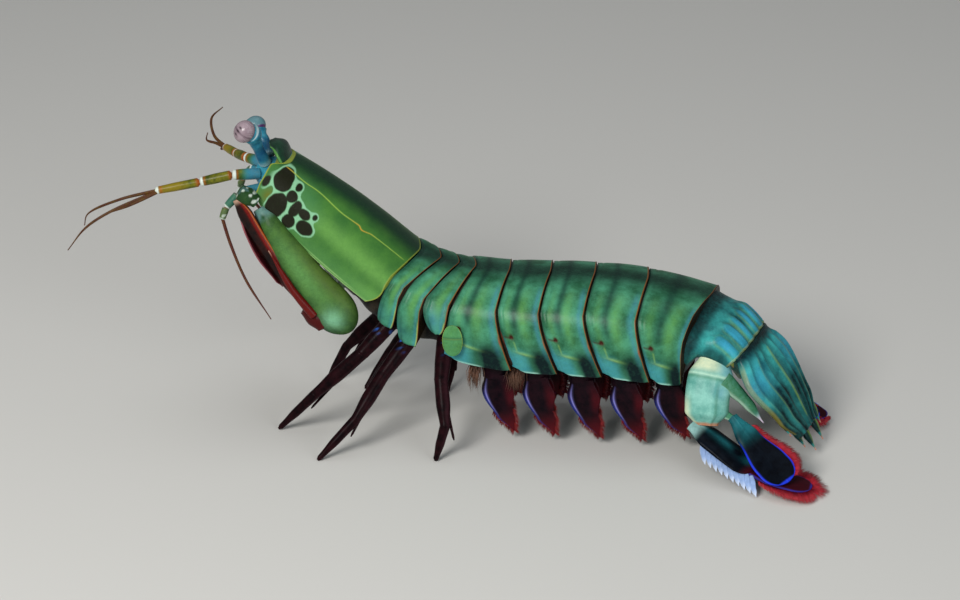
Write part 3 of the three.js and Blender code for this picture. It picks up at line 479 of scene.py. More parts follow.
shield = shell(
    "carapace_shell", "2f5e2a", "437430",
    [("sheen", "659948", 0.35), ("low", "4f8248", 0.25), ("cheek", "3f7448", 0.3), ("olive", "5c6420", 0.3),
     # top is a painted shade that darkens the back of the shield
     ("top", "10301f", 0.15), ("net", "7cb08a", 0.25), ("spots", "17180c", 0.05), ("groove", "8fb04a", 0.2),
     ("amber", "c07c26", 0.2), ("margin", "9cc47a", 0.3), ("hem", "7d8a34", 0.3)],
    size=6, stipple=0.35, gloss=0.4, wet=0.1, relief=0.12,
)
piece(
    "carapace_shield",
    [
        tube(
            lifted(grid, relief), True, groove=groove, amber=amber, margin=margin, hem=hem, spots=spots,
            net=net, cheek=cheek * 0.6,
            olive=np.exp(-(((s - 0.2) / 1.6) ** 2) - ((n + 7.4) / 1.8) ** 2) * outer * 0.9,
            # painted shade: the back of the shield darkened towards its middle line
            top=(1 - step(1.0, 8.5, arc + 0.6 * ripple(grid, 9, 11))) * 0.95,
            sheen=(
                (
                    hump(down, 0.46, 0.16) * step(0.15, 0.5, t)
                    + hump(down, 0.85, 0.14) * step(0.7, 0.95, t)
                )
                * 0.6 * outer
            ),
            low=step(0.62, 0.95, down) * 0.5 * outer,
        )
    ],
    shield, "olive", "carapace",
)

# Rostral plate. A small domed plate of dark green shell, hinged on the front edge of the shield over
# the eye stalks, with a blue line along its hinge.


def curve(path, share):
    """A centripetal cubic curve through the path, by share of its length, and its direction."""
    path = np.array(path, float)
    path = np.vstack([2 * path[0] - path[1], path, 2 * path[-1] - path[-2]])
    gaps = np.linalg.norm(np.diff(path, axis=0), axis=1) ** 0.5
    s = np.linspace(0, 1, 61)[:, None]
    runs = []
    for i in range(1, len(path) - 2):
        (a, b, c, d), (p, q, r) = path[i - 1 : i + 3], gaps[i - 1 : i + 2]
        leave = ((b - a) / p - (c - a) / (p + q) + (c - b) / q) * q
        arrive = ((c - b) / q - (d - b) / (q + r) + (d - c) / r) * q
        run = (2 * s**3 - 3 * s**2 + 1) * b + (s**3 - 2 * s**2 + s) * leave
        run = run + (3 * s**2 - 2 * s**3) * c + (s**3 - s**2) * arrive
        runs.append(run if i == len(path) - 3 else run[:-1])
    points = np.vstack(runs)
    length = np.append(0, np.cumsum(np.linalg.norm(np.diff(points, axis=0), axis=1)))
    want = np.clip(share, 0, 1) * length[-1]
    spot = np.stack([np.interp(want, length, points[:, axis]) for axis in range(3)], -1)
    nudge = 0.004 * length[-1]
    ahead, behind = (np.clip(want + way * nudge, 0, length[-1]) for way in (1, -1))
    slope = np.stack(
        [
            np.interp(ahead, length, points[:, k]) - np.interp(behind, length, points[:, k])
            for k in range(3)
        ],
        -1,
    )
    return spot, slope / np.linalg.norm(slope, axis=-1, keepdims=True)


def swept(path, wide, thick=None, side=(0, 1, 0), rows=40, cols=32, square=1.0, ends=0.0):
    """A closed curve carried along a path: half width wide(t) along side and half thickness thick(t) square
    to it, with cosine and sine raised to the power square. The rows crowd together towards both ends."""
    t = np.linspace(0, 1, rows)
    t = mixed(t, 0.5 - 0.5 * np.cos(np.pi * t), ends)
    middle, along = curve(path, t)
    side = np.array(side, float)
    across = side - along * (along @ side)[:, None]
    across /= np.linalg.norm(across, axis=1, keepdims=True)
    up = np.cross(along, across)
    angle = np.arange(cols) / cols * 2 * np.pi
    c, s = (np.sign(v) * np.abs(v) ** square for v in (np.cos(angle), np.sin(angle)))
    w = wide(t)
    h = w if thick is None else thick(t)
    grid = (
        middle[:, None] + across[:, None] * (w[:, None] * c)[..., None]
        + up[:, None] * (h[:, None] * s)[..., None]
    )
    return grid, np.broadcast_to(t[:, None], grid.shape[:2]), np.broadcast_to(angle, grid.shape[:2])


def at_front(across, depth, behind):
    """A point near the shield's front edge."""
    return body_point(np.array(0.0), across, depth, behind)


grid, t, angle = swept(
    [at_front(0, 1.6, -0.9), at_front(0, 0.2, -3.6), at_front(0, 0.4, -6.6)],
    eased((0, 4.9), (0.4, 5), (0.85, 3), (1, 0.9)), eased((0, 1.2), (0.6, 1.1), (1, 0.3)),
    rows=70, cols=96, ends=0.7,
)
plate_green = shell(
    "rostral_shell", "0e2a1c", "1c4630", [("hinge", "3c86a8", 0.2), ("rim", "4d7f3e", 0.3)], size=3,
    gloss=0.34, wet=0.3,
)
keel = hump(np.cos(angle), 0, 0.14) * (np.sin(angle) > 0) * 0.25
piece(
    "rostral_plate_shell",
    [
        tube(
            lifted(grid, keel * step(0.1, 0.5, t)), hinge=(1 - step(0.05, 0.1, t)),
            rim=step(0.93, 0.98, np.abs(np.cos(angle))) * step(0.1, 0.2, t),
        )
    ],
    plate_green, "olive", "rostral_plate",
)

# Thorax rings. Three narrow saddles of green shell behind the carapace, each with a rounded lobe on both
# sides and a thin brown rim along its rear edge. Soft skin joins each to the next.
ring_green = shell(
    "ring_shell", "21563a", "43896a",
    # On the rings, light is a painted highlight on the flanks and top is a painted shade over the back; on
    # the small oval plate, light is its own paler tone.
    [("light", "5f9c4c", 0.5), ("blue", "3a809a", 0.45), ("shade", "0e332a", 0.4), ("pale", "3f95a4", 0.4),
     ("top", "06201a", 0.2), ("blotch", "02181a", 0.25), ("ridge", "8fb458", 0.4), ("frost", "a5dccb", 0.35),
     ("rust", "3a1208", 0.1), ("blush", "96422a", 0.3), ("rim", "7c4a1c", 0.2), ("lip", "1b1208", 0.1),
     ("line", "a9b84a", 0.3)],
    size=4.5, stipple=0.55, gloss=0.42, wet=0.08, relief=0.16,
)
RING_GAP = 0.4
DEEPER = {6: (1.18, 0.92), 7: (1.02, 0.98), 8: (0.72, 0.66)}
EDGES = {6: (SHIELD_BOW, THORAX_BOW), 7: (THORAX_BOW, THORAX_BOW), 8: (THORAX_BOW, LAST_THORAX_BOW)}
LOBE_TOP, LOBE_DEPTH, LOBE_NARROWING = 0.55, 0.46, 1.9


def lobe(down):
    """How far a thorax ring's side lobe narrows at each edge, by depth: a quarter ellipse below its top."""
    below = np.clip((down - LOBE_TOP) / LOBE_DEPTH, 0, 1)
    return LOBE_NARROWING * (1 - np.sqrt(1 - below**2))


for number in (6, 7, 8):
    ahead, behind = EDGES[number]
    grid, t, down, arc, outer = body_ring(
        number - 5, number - 4, saddle_section(0.86), rows=66, cols=340, soft=1.5,
        front=lambda down: RING_GAP / 2 + lobe(down) + ahead(down),
        rear=lambda down: -RING_GAP / 2 - lobe(down) + behind(down),
        flare=lambda t: mixed(0.965, 1, step(0, 0.35, t)), deep=lambda t: mixed(*DEEPER[number], t),
    )
    tip = step(0.9, 0.97, down) * outer
    relief = (
        0.12 * step(0.86, 0.92, t) * outer + 0.16 * hump(t, 0.55, 0.3) * outer
        - 0.1 * hump(t, 0.16, 0.06) * outer
    )
    piece(
        f"thorax_ring_{number}",
        [
            tube(
                lifted(grid, relief), True, rim=step(0.95, 0.965, t) * outer * (1 - tip),
                lip=step(0.98, 0.99, t),
                line=step(0.6, 0.72, down) * step(0.9, 0.93, t) * (1 - step(0.95, 0.97, t)) * outer * 0.5,
                # Painted shade over the back (top) and a painted highlight on the flank (light).
                top=(1 - step(1, 8, arc + ripple(grid, 6, number))) * 0.85,
                light=hump(t, 0.6, 0.2) * hump(down, 0.4, 0.3) * 0.6,
                blue=(
                    (
                        hump(t, 0.84, 0.08) * step(0.1, 0.3, down) * 0.3
                        + (number == 8) * hump(down, 0.65, 0.2) * hump(t, 0.5, 0.3) * 0.5
                    )
                    * outer
                ),
                shade=(
                    np.maximum(1 - step(0.0, 0.25, t), step(0.5, 0.85, down) * hump(t, 0.15, 0.25)) * 0.65
                ),
                pale=hump(down, 0.86, 0.12) * 0.12,
            )
        ],
        ring_green, "shell", f"thorax_{number}",
    )

# Abdomen rings. Five broad rings of green shell with side plates. Each has a brown rim along its rear
# edge, a blue band before it, a dark pit on the flank and a dark blotch on the side plate.
EDGE_BOW, LAST_BOW = bowed(1.3, 0.25, 4.8, 0.25), bowed(0.9, 0.12, 2.1, 0.4)
RING_COVERED = 0.74  # the side plates reach this share of the way round from the back to the belly


def ring_section(share):
    """The rounded back to 0.6 of the depth, then side plates that hang below a flat belly."""
    across, down = arch_section(np.minimum(share * 2, 1))
    across = np.where(
        share <= 0.5, across,
        np.interp(share, [1 / 2, 7 / 12, 2 / 3, 3 / 4, 5 / 6, 1], [1, 0.985, 0.95, 0.86, 0.78, 0]),
    )
    down = np.where(
        share <= 0.5, down * 0.6,
        np.interp(share, [1 / 2, 2 / 3, 3 / 4, 5 / 6, 1], [0.6, 1, 1, 0.84, 0.79]),
    )
    return across, down


for number in range(1, 6):
    first, last = (LAST_THORAX_BOW if number == 1 else EDGE_BOW), (LAST_BOW if number == 5 else EDGE_BOW)
    grid, t, down, arc, outer = body_ring(
        number + 3, number + 4, ring_section, rows=104, cols=440, soft=3.0, covered=RING_COVERED,
        front=lambda down: 0.5 * RING_GAP + first(down), rear=lambda down: -0.5 * RING_GAP + last(down),
        flare=eased((0, 0.952), (0.14, 0.978), (1, 1)), skew=TAIL_TURN if number == 5 else 0,
        trim=lambda t, down: (
            1 - 0.05 * (1 - step(0, 0.3, t)) * step(0.7, 1, down)
            - 0.02 * step(0.85, 1, t) * step(0.7, 1, down)
        ),
    )
    x = t + 0.02 * ripple(grid, 6, number)
    side = step(0.02, 0.1, down)
    pit = np.exp(-(((t - 0.24) / 0.045) ** 2) - ((down - 0.53) / 0.028) ** 2)
    ledge = hump(down, 0.535 + 0.03 * t, 0.012) * step(0.03, 0.08, t) * (1 - step(0.2, 0.26, t))
    rim = step(0.972, 0.98, t) * outer
    ridge = np.exp(-(((t - 0.4) / 0.16) ** 2) - ((down - 0.735 - 0.1 * (t - 0.4)) / 0.02) ** 2)
    stem = hump(t, 0.27, 0.02) * step(0.57, 0.6, down) * (1 - step(0.68, 0.73, down))
    relief = (
        0.1 * rim
        + outer
        * (
            0.1 * hump(t, 0.45, 0.3) - 0.3 * pit - 0.12 * ledge + 0.22 * ridge
            + 0.05 * ripple(grid, 8, 40 + number)
        )
    )
    relief = relief - 0.1 * hump(t, 0.12, 0.03) * outer
    parts = [
        tube(
            lifted(grid, relief), True, rim=rim, lip=step(0.988, 0.993, t),
            # Painted shade over the back (top) and painted highlight patches on the flank (light).
            top=(1 - step(0.5, 8.0, arc + ripple(grid, 8, number + 20))) * 0.85,
            light=(hump(x, 0.22, 0.08) * 0.6 + hump(x, 0.6, 0.12)) * hump(down, 0.3, 0.26) * 0.5 * side,
            blue=(
                hump(x, 0.9, 0.06) * side * (1 - step(0.75, 0.9, down)) * 0.4
                + hump(x, 0.05, 0.05) * hump(down, 0.7, 0.15) * 0.4
            ),
            shade=(
                np.clip(
                    hump(x, 0.41, 0.08) * (1 - step(0.35, 0.55, down)) + (1 - step(0.0, 0.06, t)), 0, 1,
                )
                * 0.7
            ),
            pale=np.clip(step(0.62, 0.84, down) * (1 - step(0.3, 0.56, x)), 0, 1) * 0.6 * outer,
            blotch=np.clip(1.3 * hump(x, 0.75, 0.2) * step(0.56, 0.84, down), 0, 1) * outer,
            ridge=np.clip(ridge * 0.6 + stem * 0.4, 0, 1) * 0.8,
            rust=np.clip(pit * 1.5 + ledge * 0.7, 0, 1),
            blush=hump(t, 0.965, 0.012) * hump(down, 0.6, 0.06) * 0.9 * outer,
            frost=step(0.965, 0.99, down) * outer * (1 - step(0.5, 0.62, x)) * 0.7,
        )
    ]
    if number == 1:
        for sign in (-1, 1):  # the small oval plate in front of the first ring's side plate
            grid, t, angle = swept(
                [[1.2, sign * 15.7, 31.4], [1.3, sign * 16, 27.6], [1.3, sign * 15.9, 23.8]],
                lambda t: 0.3 + 2.1 * np.sqrt(np.clip(4 * t * (1 - t), 0, 1)),
                eased((0, 0.25), (0.5, 0.55), (1, 0.25)), side=(1, 0, 0), rows=60, cols=50, ends=0.9,
            )
            c = np.cos(angle)
            parts.append(
                tube(
                    lifted(grid, 0.06 * hump(c, 0, 0.5)),
                    line=np.clip(step(0.93, 0.98, np.abs(c)) + hump(t, 0.42, 0.012) * 0.5, 0, 1) * 0.5,
                    light=0.4 + 0 * t, shade=hump(t, 0.4, 0.05) * 0.5,
                )
            )
    piece(f"abdomen_ring_{number}", parts, ring_green, "shell", f"abdomen_{number}")

# Joint skin. Dark soft skin joins each ring to the next, so that no light passes between them. It lies
# just inside the shells, as one long sleeve round the gut and the tail muscle.
joint_skin = shell(
    "joint_skin", "120d0a", "2c2018", [("rust", "5a2c14", 0.4)], size=1.5, stipple=0.5, gloss=0.45,
    wet=0.1, relief=0.2,
)
grid, t, down, arc, outer = body_ring(
    1.02, 8.72, ring_section, covered=RING_COVERED, front=lambda down: 0.6 * THORAX_BOW(down),
    rear=lambda down: LAST_BOW(down) - 0.5, flare=lambda t: mixed(0.8, 0.95, step(0.32, 0.45, t)),
    rows=200, cols=140, deep=lambda t: mixed(0.5, 0.93, step(0.3, 0.5, t)),
)
grid[..., 2] -= 0.45
piece(
    "joint_skin", [tube(grid, rust=hump(down, 0.55, 0.08) * (1 - step(0.85, 0.9, t)) * 0.8)], joint_skin,
    "ink",
)

# Sixth abdomen ring. A short blue-green ring that tips down towards the tail. Six swollen keels, lined
# in yellow-green, run back over it, and each ends in a short spine.
SIXTH_PLACE = np.array([[61.8, 32.8], [70.5, 26.6]])
SIXTH_LEAN = np.radians([20.0, 44.0])
SIXTH_SIZE = np.array([[12.4, 11.0], [11.8, 8.5]])
SIXTH_KEELS = ((2.2, 1.0, 1.5), (6.3, 1.2, 1.7), (10.4, 1.0, 1.3))  # place across, height, half width


def power(value, exponent):
    """The value's size raised to a power, with its sign kept."""
    return np.sign(value) * np.abs(value) ** exponent


TAIL_HINGE = 61.2


def tail_turned(points):
    """Points of the tail, turned by TAIL_TURN about an upright line at the hinge."""
    x, y = points[..., 0] - TAIL_HINGE, points[..., 1]
    c, s = np.cos(TAIL_TURN), np.sin(TAIL_TURN)
    return np.stack([TAIL_HINGE + c * x + s * y, c * y - s * x, points[..., 2]], -1)


def sixth_point(t, across, down):
    """A point of the sixth ring: a straight run of leaning planes with a bow of 0.8 sin(pi t)."""
    lean = mixed(*SIXTH_LEAN, t)
    rise = 0.8 * np.sin(np.pi * t) - down
    x, z = (mixed(*SIXTH_PLACE[:, k], t) + rise * way for k, way in ((0, np.sin(lean)), (1, np.cos(lean))))
    return tail_turned(np.stack(np.broadcast_arrays(x, across, z), -1))


tail_patches = [
    # teal is a painted highlight on the keels; dark is painted shade where the sixth ring and the telson
    # tuck under the ring ahead and between the sixth ring's keels, and the own dark of the telson's blotches
    # and teeth
    ("dark", "03181a", 0.35), ("teal", "3a9cc0", 0.45), ("keel", "7f9f42", 0.4), ("rim", "9a8f3a", 0.3),
    ("spine", "b9c06a", 0.2), ("tip", "c9836a", 0.2), ("lip", "120d08", 0.1),
]
tail_shell = shell(
    "tail_shell", "175a5c", "379a96", tail_patches, size=4.5, stipple=0.5, gloss=0.42, wet=0.1,
    relief=0.16,
)
t = np.linspace(-0.5, 1, 120)[:, None]
angle = np.arange(340)[None] / 340 * 2 * np.pi
width, depth = (
    mixed(*SIXTH_SIZE[:, k], t) + swell * (1 - step(-0.2, 0.2, t)) for k, swell in ((0, 1.6), (1, 5.5))
)
across, down = power(np.sin(angle), 0.8) * width, (1 - power(np.cos(angle), 0.9)) / 2 * depth
grid = sixth_point(t, across, down)
upper = step(-0.15, 0.25, np.cos(angle) + 0 * t)
swell = step(0.12, 0.45, t) * (1 - 0.35 * step(0.9, 1, t))
keels = sum(
    high * hump(np.abs(across), place * mixed(1, 0.95, t), wide) for place, high, wide in SIXTH_KEELS
)
keel = np.clip(keels * swell, 0, 1) * upper
rim = step(0.93, 0.955, t) * upper
parts = [
    tube(
        lifted(grid, 0.85 * keel + 0.18 * rim + 0.05 * ripple(grid, 4, 60)), True,
        keel=np.clip(
            hump(keel, 0.5, 0.12) * step(0.25, 0.5, t) * (0.35 + 0.2 * ripple(grid, 4, 61)), 0, 1,
        ),
        rim=rim * 0.4, lip=step(0.985, 0.993, t),
        # Painted shade: dark at the front, tucked under the fifth ring, and in the hollows between the
        # keels.
        dark=(
            np.clip(1 - step(-0.1, 0.12, t) + (1 - step(0.1, 0.35, keel)) * step(0.2, 0.4, t) * 0.7, 0, 1)
            * 0.8
        ),
        # Painted highlight: lighter teal on the keel crests.
        teal=step(0.5, 0.9, keel) * hump(t, 0.65, 0.3) * 0.7,
    )
]
for sign in (-1, 1):
    for (place, high, wide), drop in zip(SIXTH_KEELS, (0.2, 0.9, 3.4)):
        path = [
            sixth_point(s, sign * place * 0.95, drop + more)
            for s, more in ((0.84, 0.1), (1.0, 0.1), (1.13, 0.45))
        ]
        size = eased((0, wide * 0.5), (0.4, wide * 0.6), (1, 0.14))
        grid, t, angle = swept(path, size, rows=24, cols=20)
        parts.append(tube(grid, spine=step(0.3, 0.6, t), tip=step(0.8, 1, t), keel=1 - step(0.3, 0.6, t)))
piece("sixth_ring", parts, tail_shell, "tail", "abdomen_6")

# Telson. The tail's end plate of thick shell slopes down to the floor behind the sixth ring. It carries
# a middle keel and three on each side, and its hind edge ends in three pairs of stout teeth.
TELSON_ROOT = np.array([71.2, 0.0, 23.9])
TELSON_LENGTH = 22.0
PITCH = np.radians(53.0)
# A keel's place across, its height and its width, and a tooth's place across, start, end and radius.
TELSON_KEELS = ((0, 1, 0.09), (0.3, 0.7, 0.06), (0.56, 0.85, 0.09), (0.86, 0.8, 0.06))
TELSON_TEETH = ((3.3, 18, 27.4, 2.1), (7.4, 16, 24.6, 1.9), (10.6, 11, 20, 1.6))
TELSON_BACK, TELSON_UP = (
    np.array([np.cos(PITCH), 0, -np.sin(PITCH)]), np.array([np.sin(PITCH), 0, np.cos(PITCH)]),
)
telson_half = eased((0, 10.2), (0.3, 13.6), (0.75, 10.6), (1, 6.8))


def telson_point(run, across, up):
    """A point down the telson's slope, across it and out from it, before the tail is turned."""
    return TELSON_ROOT + run * TELSON_BACK + np.array([0, across, 0]) + up * TELSON_UP


grid, t, angle = swept(
    [telson_point(-2.5, 0, 0), telson_point(11, 0, 0), telson_point(TELSON_LENGTH, 0, 0)],
    telson_half, eased((0, 2.4), (0.5, 2.3), (1, 1.0)), rows=140, cols=380, square=0.85, ends=0.4,
)
share = np.abs(grid[..., 1]) / np.maximum(telson_half(t), 1)
upper = (outward(grid) @ TELSON_UP > 0.05) * 1.0
run = step(0.04, 0.14, t) * (1 - 0.6 * step(0.85, 1, t))
keel = sum(
    high * hump(share, place + 0.06 * np.sin(3 * t) * (place > 0), wide)
    for place, high, wide in TELSON_KEELS
)
keel = np.clip(keel * run, 0, 1) * upper
pools = hump(t, 0.55, 0.1) * hump(share, 0.45, 0.25) * 1.2
valleys = step(0.42, 0.7, t + 0.05 * ripple(grid, 4, 73))
valleys = valleys * (1 - 0.55 * hump(share, 0.15, 0.1)) * (1 - 0.55 * hump(share, 0.66, 0.1))
parts = [
    tube(tail_turned(lifted(grid, 0.7 * keel + 0.05 * ripple(grid, 3, 71)) - [0, 0.9, 0]),
         keel=step(0.72, 0.98, keel) * (0.5 + 0.25 * ripple(grid, 6, 72)),
         # Painted highlight: lighter teal high on the outer slopes.
         teal=hump(t, 0.3, 0.16) * hump(share, 0.75, 0.3) * 0.5,
         # Dark blotches in the lower half, lighter on the keels, with painted shade at the front where the
         # telson tucks under the sixth ring.
         dark=np.clip(pools + valleys + (1 - step(0.0, 0.16, t)), 0, 1) * (1 - 0.5 * keel),
         rim=step(0.965, 0.99, share) * step(0.05, 0.15, t) * 0.4)
]
for sign in (-1, 1):
    for across, start, end, radius in TELSON_TEETH:
        path = [
            telson_point(start, sign * across, 0),
            telson_point(mixed(start, end, 0.5), sign * across * 0.96, -0.1),
            telson_point(end, sign * across * 0.9, -0.4),
        ]
        grid, t, angle = swept(path, eased((0, radius), (0.5, radius * 0.62), (1, 0.14)),
                               eased((0, radius * 0.55), (0.5, radius * 0.4), (1, 0.12)), rows=44, cols=36)
        parts.append(
            tube(
                tail_turned(grid), keel=hump(np.cos(angle), 0, 0.3) * 0.6,
                dark=(1 - step(0.75, 0.85, t)) * 0.9, tip=step(0.86, 0.98, t),
            )
        )
piece("telson_plate", parts, tail_shell, "tail", "telson")

# Tail fan. On each side a mint and cream base block carries a long green spine, a blue-black outer
# blade with ten movable lilac spines, and an inner blade edged in bright blue.
STEMS = {
    -1: [[61.8, -10.2, 24.4], [60.6, -15.2, 17.6], [60.6, -17.8, 11]],
    1: [[64.6, 10.2, 20], [68, 12, 15], [71.6, 13, 9.6]],
}
FAN = {
    -1: {
        "near": [[57.4, -17.8, 11], [65.5, -21.6, 6.8], [72.5, -25, 3.8]],
        "far": [[71.4, -24.4, 3.6], [78.4, -25.7, 2.2], [85.7, -26.2, 1.2]],
        "spines": [[59.8, -20.8, 7.6], [71.4, -27.6, 3.4]],
        "inner": [[66.6, -17, 13], [73, -22.5, 8], [80.4, -28.6, 3.4]],
    },
    1: {
        "near": [[71.5, 13, 7], [76.6, 13, 4.6], [82, 11.4, 2.6]],
        "far": [[79.2, 12.6, 3.6], [83, 10, 2.6], [86.4, 6.4, 1.8]],
        "spines": [[72, 15.8, 5.8], [82.4, 14.4, 2.4]],
        "inner": [[73.5, 8.4, 12], [79.5, 8.4, 6.6], [86, 6.8, 2.4]],
    },
}
base_shell = shell(
    "fan_base_shell", "4d8f84", "84bdb0",
    [("blue", "6aa0b0", 0.4), ("cream", "cfd8b4", 0.35), ("green", "2f6a44", 0.4), ("pale", "b5d8c0", 0.3),
     ("orange", "b4551c", 0.3), ("tip", "d3c6d6", 0.2)],
    size=4, stipple=0.5, gloss=0.42, wet=0.08, relief=0.16,
)
blade_shell = shell(
    "fan_blade_shell", "04060c", "0a1018",
    [("teal", "2a7f88", 0.45), ("red", "3c0a14", 0.35), ("violet", "34349a", 0.3), ("blue", "1f36c8", 0.25),
     # white is the spines' pale tips and a painted highlight stripe along each spine
     ("pale", "8fb8b4", 0.4), ("lilac", "8ea8d4", 0.25), ("white", "cdd8ea", 0.2)],
    size=2.4, stipple=0.4, gloss=0.45, wet=0.05, relief=0.1, shine=0.02,
)


def beside(path):
    """The level direction square to a path's run."""
    run = np.array(path[-1], float) - np.array(path[0], float)
    return np.array([-run[1], run[0], 0]) / np.hypot(run[0], run[1])


def unit(vector):
    """The vector at length 1."""
    return np.array(vector, float) / np.linalg.norm(vector, axis=-1, keepdims=True)


def rounded(half, start):
    """Half widths half(t) with a round end: half(t) sqrt(1 - ((t - start) / (1 - start))^2) past start."""
    return lambda t: half(t) * np.sqrt(1 - np.clip((t - start) / (1 - start), 0, 0.995) ** 2)


SIDES = (("left", -1), ("right", 1))
OUTER_HALF = rounded(eased((0, 2.4), (0.35, 3.7), (1, 4)), 0.7)
INNER_HALF = rounded(eased((0, 1.3), (0.3, 2.8), (0.7, 4.3), (1, 4.6)), 0.76)
BLADES = {}
for side, sign in SIDES:
    stem = np.array(STEMS[sign])
    grid, t, angle = swept(
        stem, eased((0, 3.6), (0.3, 5.3), (0.8, 5.1), (1, 2.8)),
        eased((0, 2.0), (0.3, 2.9), (0.8, 2.7), (1, 1.2)), side=(1, 0, 0), rows=70, cols=90, square=0.8,
        ends=0.7,
    )
    rib = hump(np.cos(angle), 0.25, 0.14) * step(0.1, 0.3, t)
    c = np.cos(angle)
    parts = [
        tube(
            lifted(grid, 0.25 * rib + 0.08 * ripple(grid, 5, 80)),
            cream=(
                np.clip(
                    (1 - step(-0.95, -0.5, c)) * step(0.5, 0.8, t)
                    + (1 - step(0.16, 0.3, t)) * (1 - step(-0.2, 0.6, c)),
                    0, 1,
                )
                * 0.85
            ),
            blue=(
                np.clip(
                    (1 - step(0.2, 0.34, t)) * step(0.0, 0.6, c) + hump(t, 0.5, 0.1) * hump(c, 0.5, 0.3),
                    0, 1,
                )
                * 0.5
            ),
            green=(
                hump(t, 0.33, 0.03) * 0.5 + hump(c, 0.35, 0.07) * step(0.35, 0.5, t) * 0.4
                + step(0.75, 0.98, c) * step(0.4, 0.6, t) * 0.5
            ),
            pale=hump(t, 0.29, 0.02) * 0.7,
            orange=hump(t, 0.3, 0.05) * hump(c, 0.8, 0.14) * 0.9 + step(0.93, 0.98, t) * 0.7,
        )
    ]
    inward = 2 if sign < 0 else -1.6
    spikes = (
        (stem[1] + [3.2, inward * 0.5, 3.6], stem[1] + [13, inward * 0.6, -7], 2.2),
        (stem[1:].mean(0) + [2.4, 0, 0], stem[2] + [9.6, inward * -0.3, -0.6], 1.2),
    )
    for start, end, radius in spikes:
        middle = (start + end) / 2 + [0.3, 0, 0.35]
        grid, t, angle = swept(
            [start, middle, end], eased((0, radius), (0.6, radius * 0.6), (1, 0.15)), rows=50, cols=28,
        )
        parts.append(
            tube(
                grid, green=0.85 * (1 - step(0.7, 0.9, t)), pale=hump(np.sin(angle), -0.5, 0.3) * 0.8,
                tip=step(0.78, 0.95, t),
            )
        )
    piece(f"fan_base_{side}", parts, base_shell, "pale", f"uropod_base_{side}")

    fan = FAN[sign]
    grid, t, angle = swept(
        fan["near"], rounded(eased((0, 2.2), (0.3, 4.1), (1, 4.7)), 0.78),
        eased((0, 1.1), (0.4, 1.35), (1, 0.7)), side=beside(fan["near"]), rows=90, cols=90, ends=0.9,
    )
    streak = hump(np.cos(angle), 0.15, 0.3) * (np.sin(angle) * 0.5 + 0.5)
    parts = [
        tube(
            lifted(grid, 0.12 * hump(np.cos(angle), 0.2, 0.12)),
            teal=streak * (0.5 + 0.5 * ripple(grid, 4, 90)) * 0.7,
            red=np.clip(step(0.5, 0.9, np.cos(angle) * -sign) * 0.3 + step(0.85, 0.97, t) * 0.7, 0, 1),
            pale=(1 - step(0.08, 0.22, t)) * 0.8,
        )
    ]
    grid, t, angle = swept(
        fan["far"], OUTER_HALF, eased((0, 0.85), (0.5, 0.6), (1, 0.3)),
        side=beside(fan["far"]), rows=100, cols=90, ends=0.9,
    )
    BLADES["outer", side] = grid
    brim = np.clip(step(0.86, 0.95, np.abs(np.cos(angle))) + step(0.95, 0.99, t), 0, 1)
    parts.append(tube(grid, red=0.7 + 0 * t, violet=brim * 0.6))
    first, last = np.array(fan["spines"])
    way = unit((last - first) * [1, 1, 0])
    out = np.array([-way[1], way[0], 0]) * sign
    for share in np.linspace(0, 1, 10):
        root, reach = mixed(first, last, share), mixed(3.6, 5.6, share)
        tip = root + way * reach * 0.62 + out * reach * 0.4
        tip[2] = mixed(3.6, 0.5, share)
        middle = (root + tip) / 2 + [0, 0, 0.25]
        grid, t, angle = swept(
            [root - out * 0.6, middle, tip], eased((0, 0.6), (0.35, 0.82), (0.75, 0.6), (1, 0.12)),
            eased((0, 0.36), (0.6, 0.3), (1, 0.1)), side=way, rows=26, cols=18,
        )
        parts.append(
            tube(
                grid, lilac=0.9 + 0 * t,
                # White towards the tip, and a painted highlight stripe along one side.
                white=step(0.6, 0.95, t) * 0.7 + hump(np.cos(angle), -1, 0.25) * 0.5,
            )
        )
    piece(f"fan_outer_{side}", parts, blade_shell, "fan", f"uropod_outer_{side}")

    facing = (0.7, 0.6, 0.35) if sign < 0 else (0, 1, 0)
    grid, t, angle = swept(
        fan["inner"], INNER_HALF, eased((0, 1.1), (0.4, 0.85), (1, 0.3)), side=facing, rows=120, cols=110,
        ends=0.9,
    )
    BLADES["inner", side] = grid
    brim = np.clip(step(0.86, 0.95, np.abs(np.cos(angle))) * step(0.25, 0.5, t) + step(0.955, 0.98, t), 0, 1)
    parts = [tube(lifted(grid, 0.1 * hump(np.cos(angle), 0, 0.1)), blue=brim,
                  teal=(1 - step(0.15, 0.45, t)) * (0.6 + 0.4 * ripple(grid, 3, 95)) * 0.8)]
    piece(f"fan_inner_{side}", parts, blade_shell, "ink", f"uropod_inner_{side}")

# Setae of the tail fan. Stiff crimson hairs stand close together round the end of each blade. Each is
# a three-sided hair with a knee half way along.
fringe_red = shell(
    "crimson_setae", "74091a", "a8142c", [("far_end", "c0454c", 0.3)], size=1.2, stipple=0.6, gloss=0.5,
    wet=0.05, relief=0.0,
)


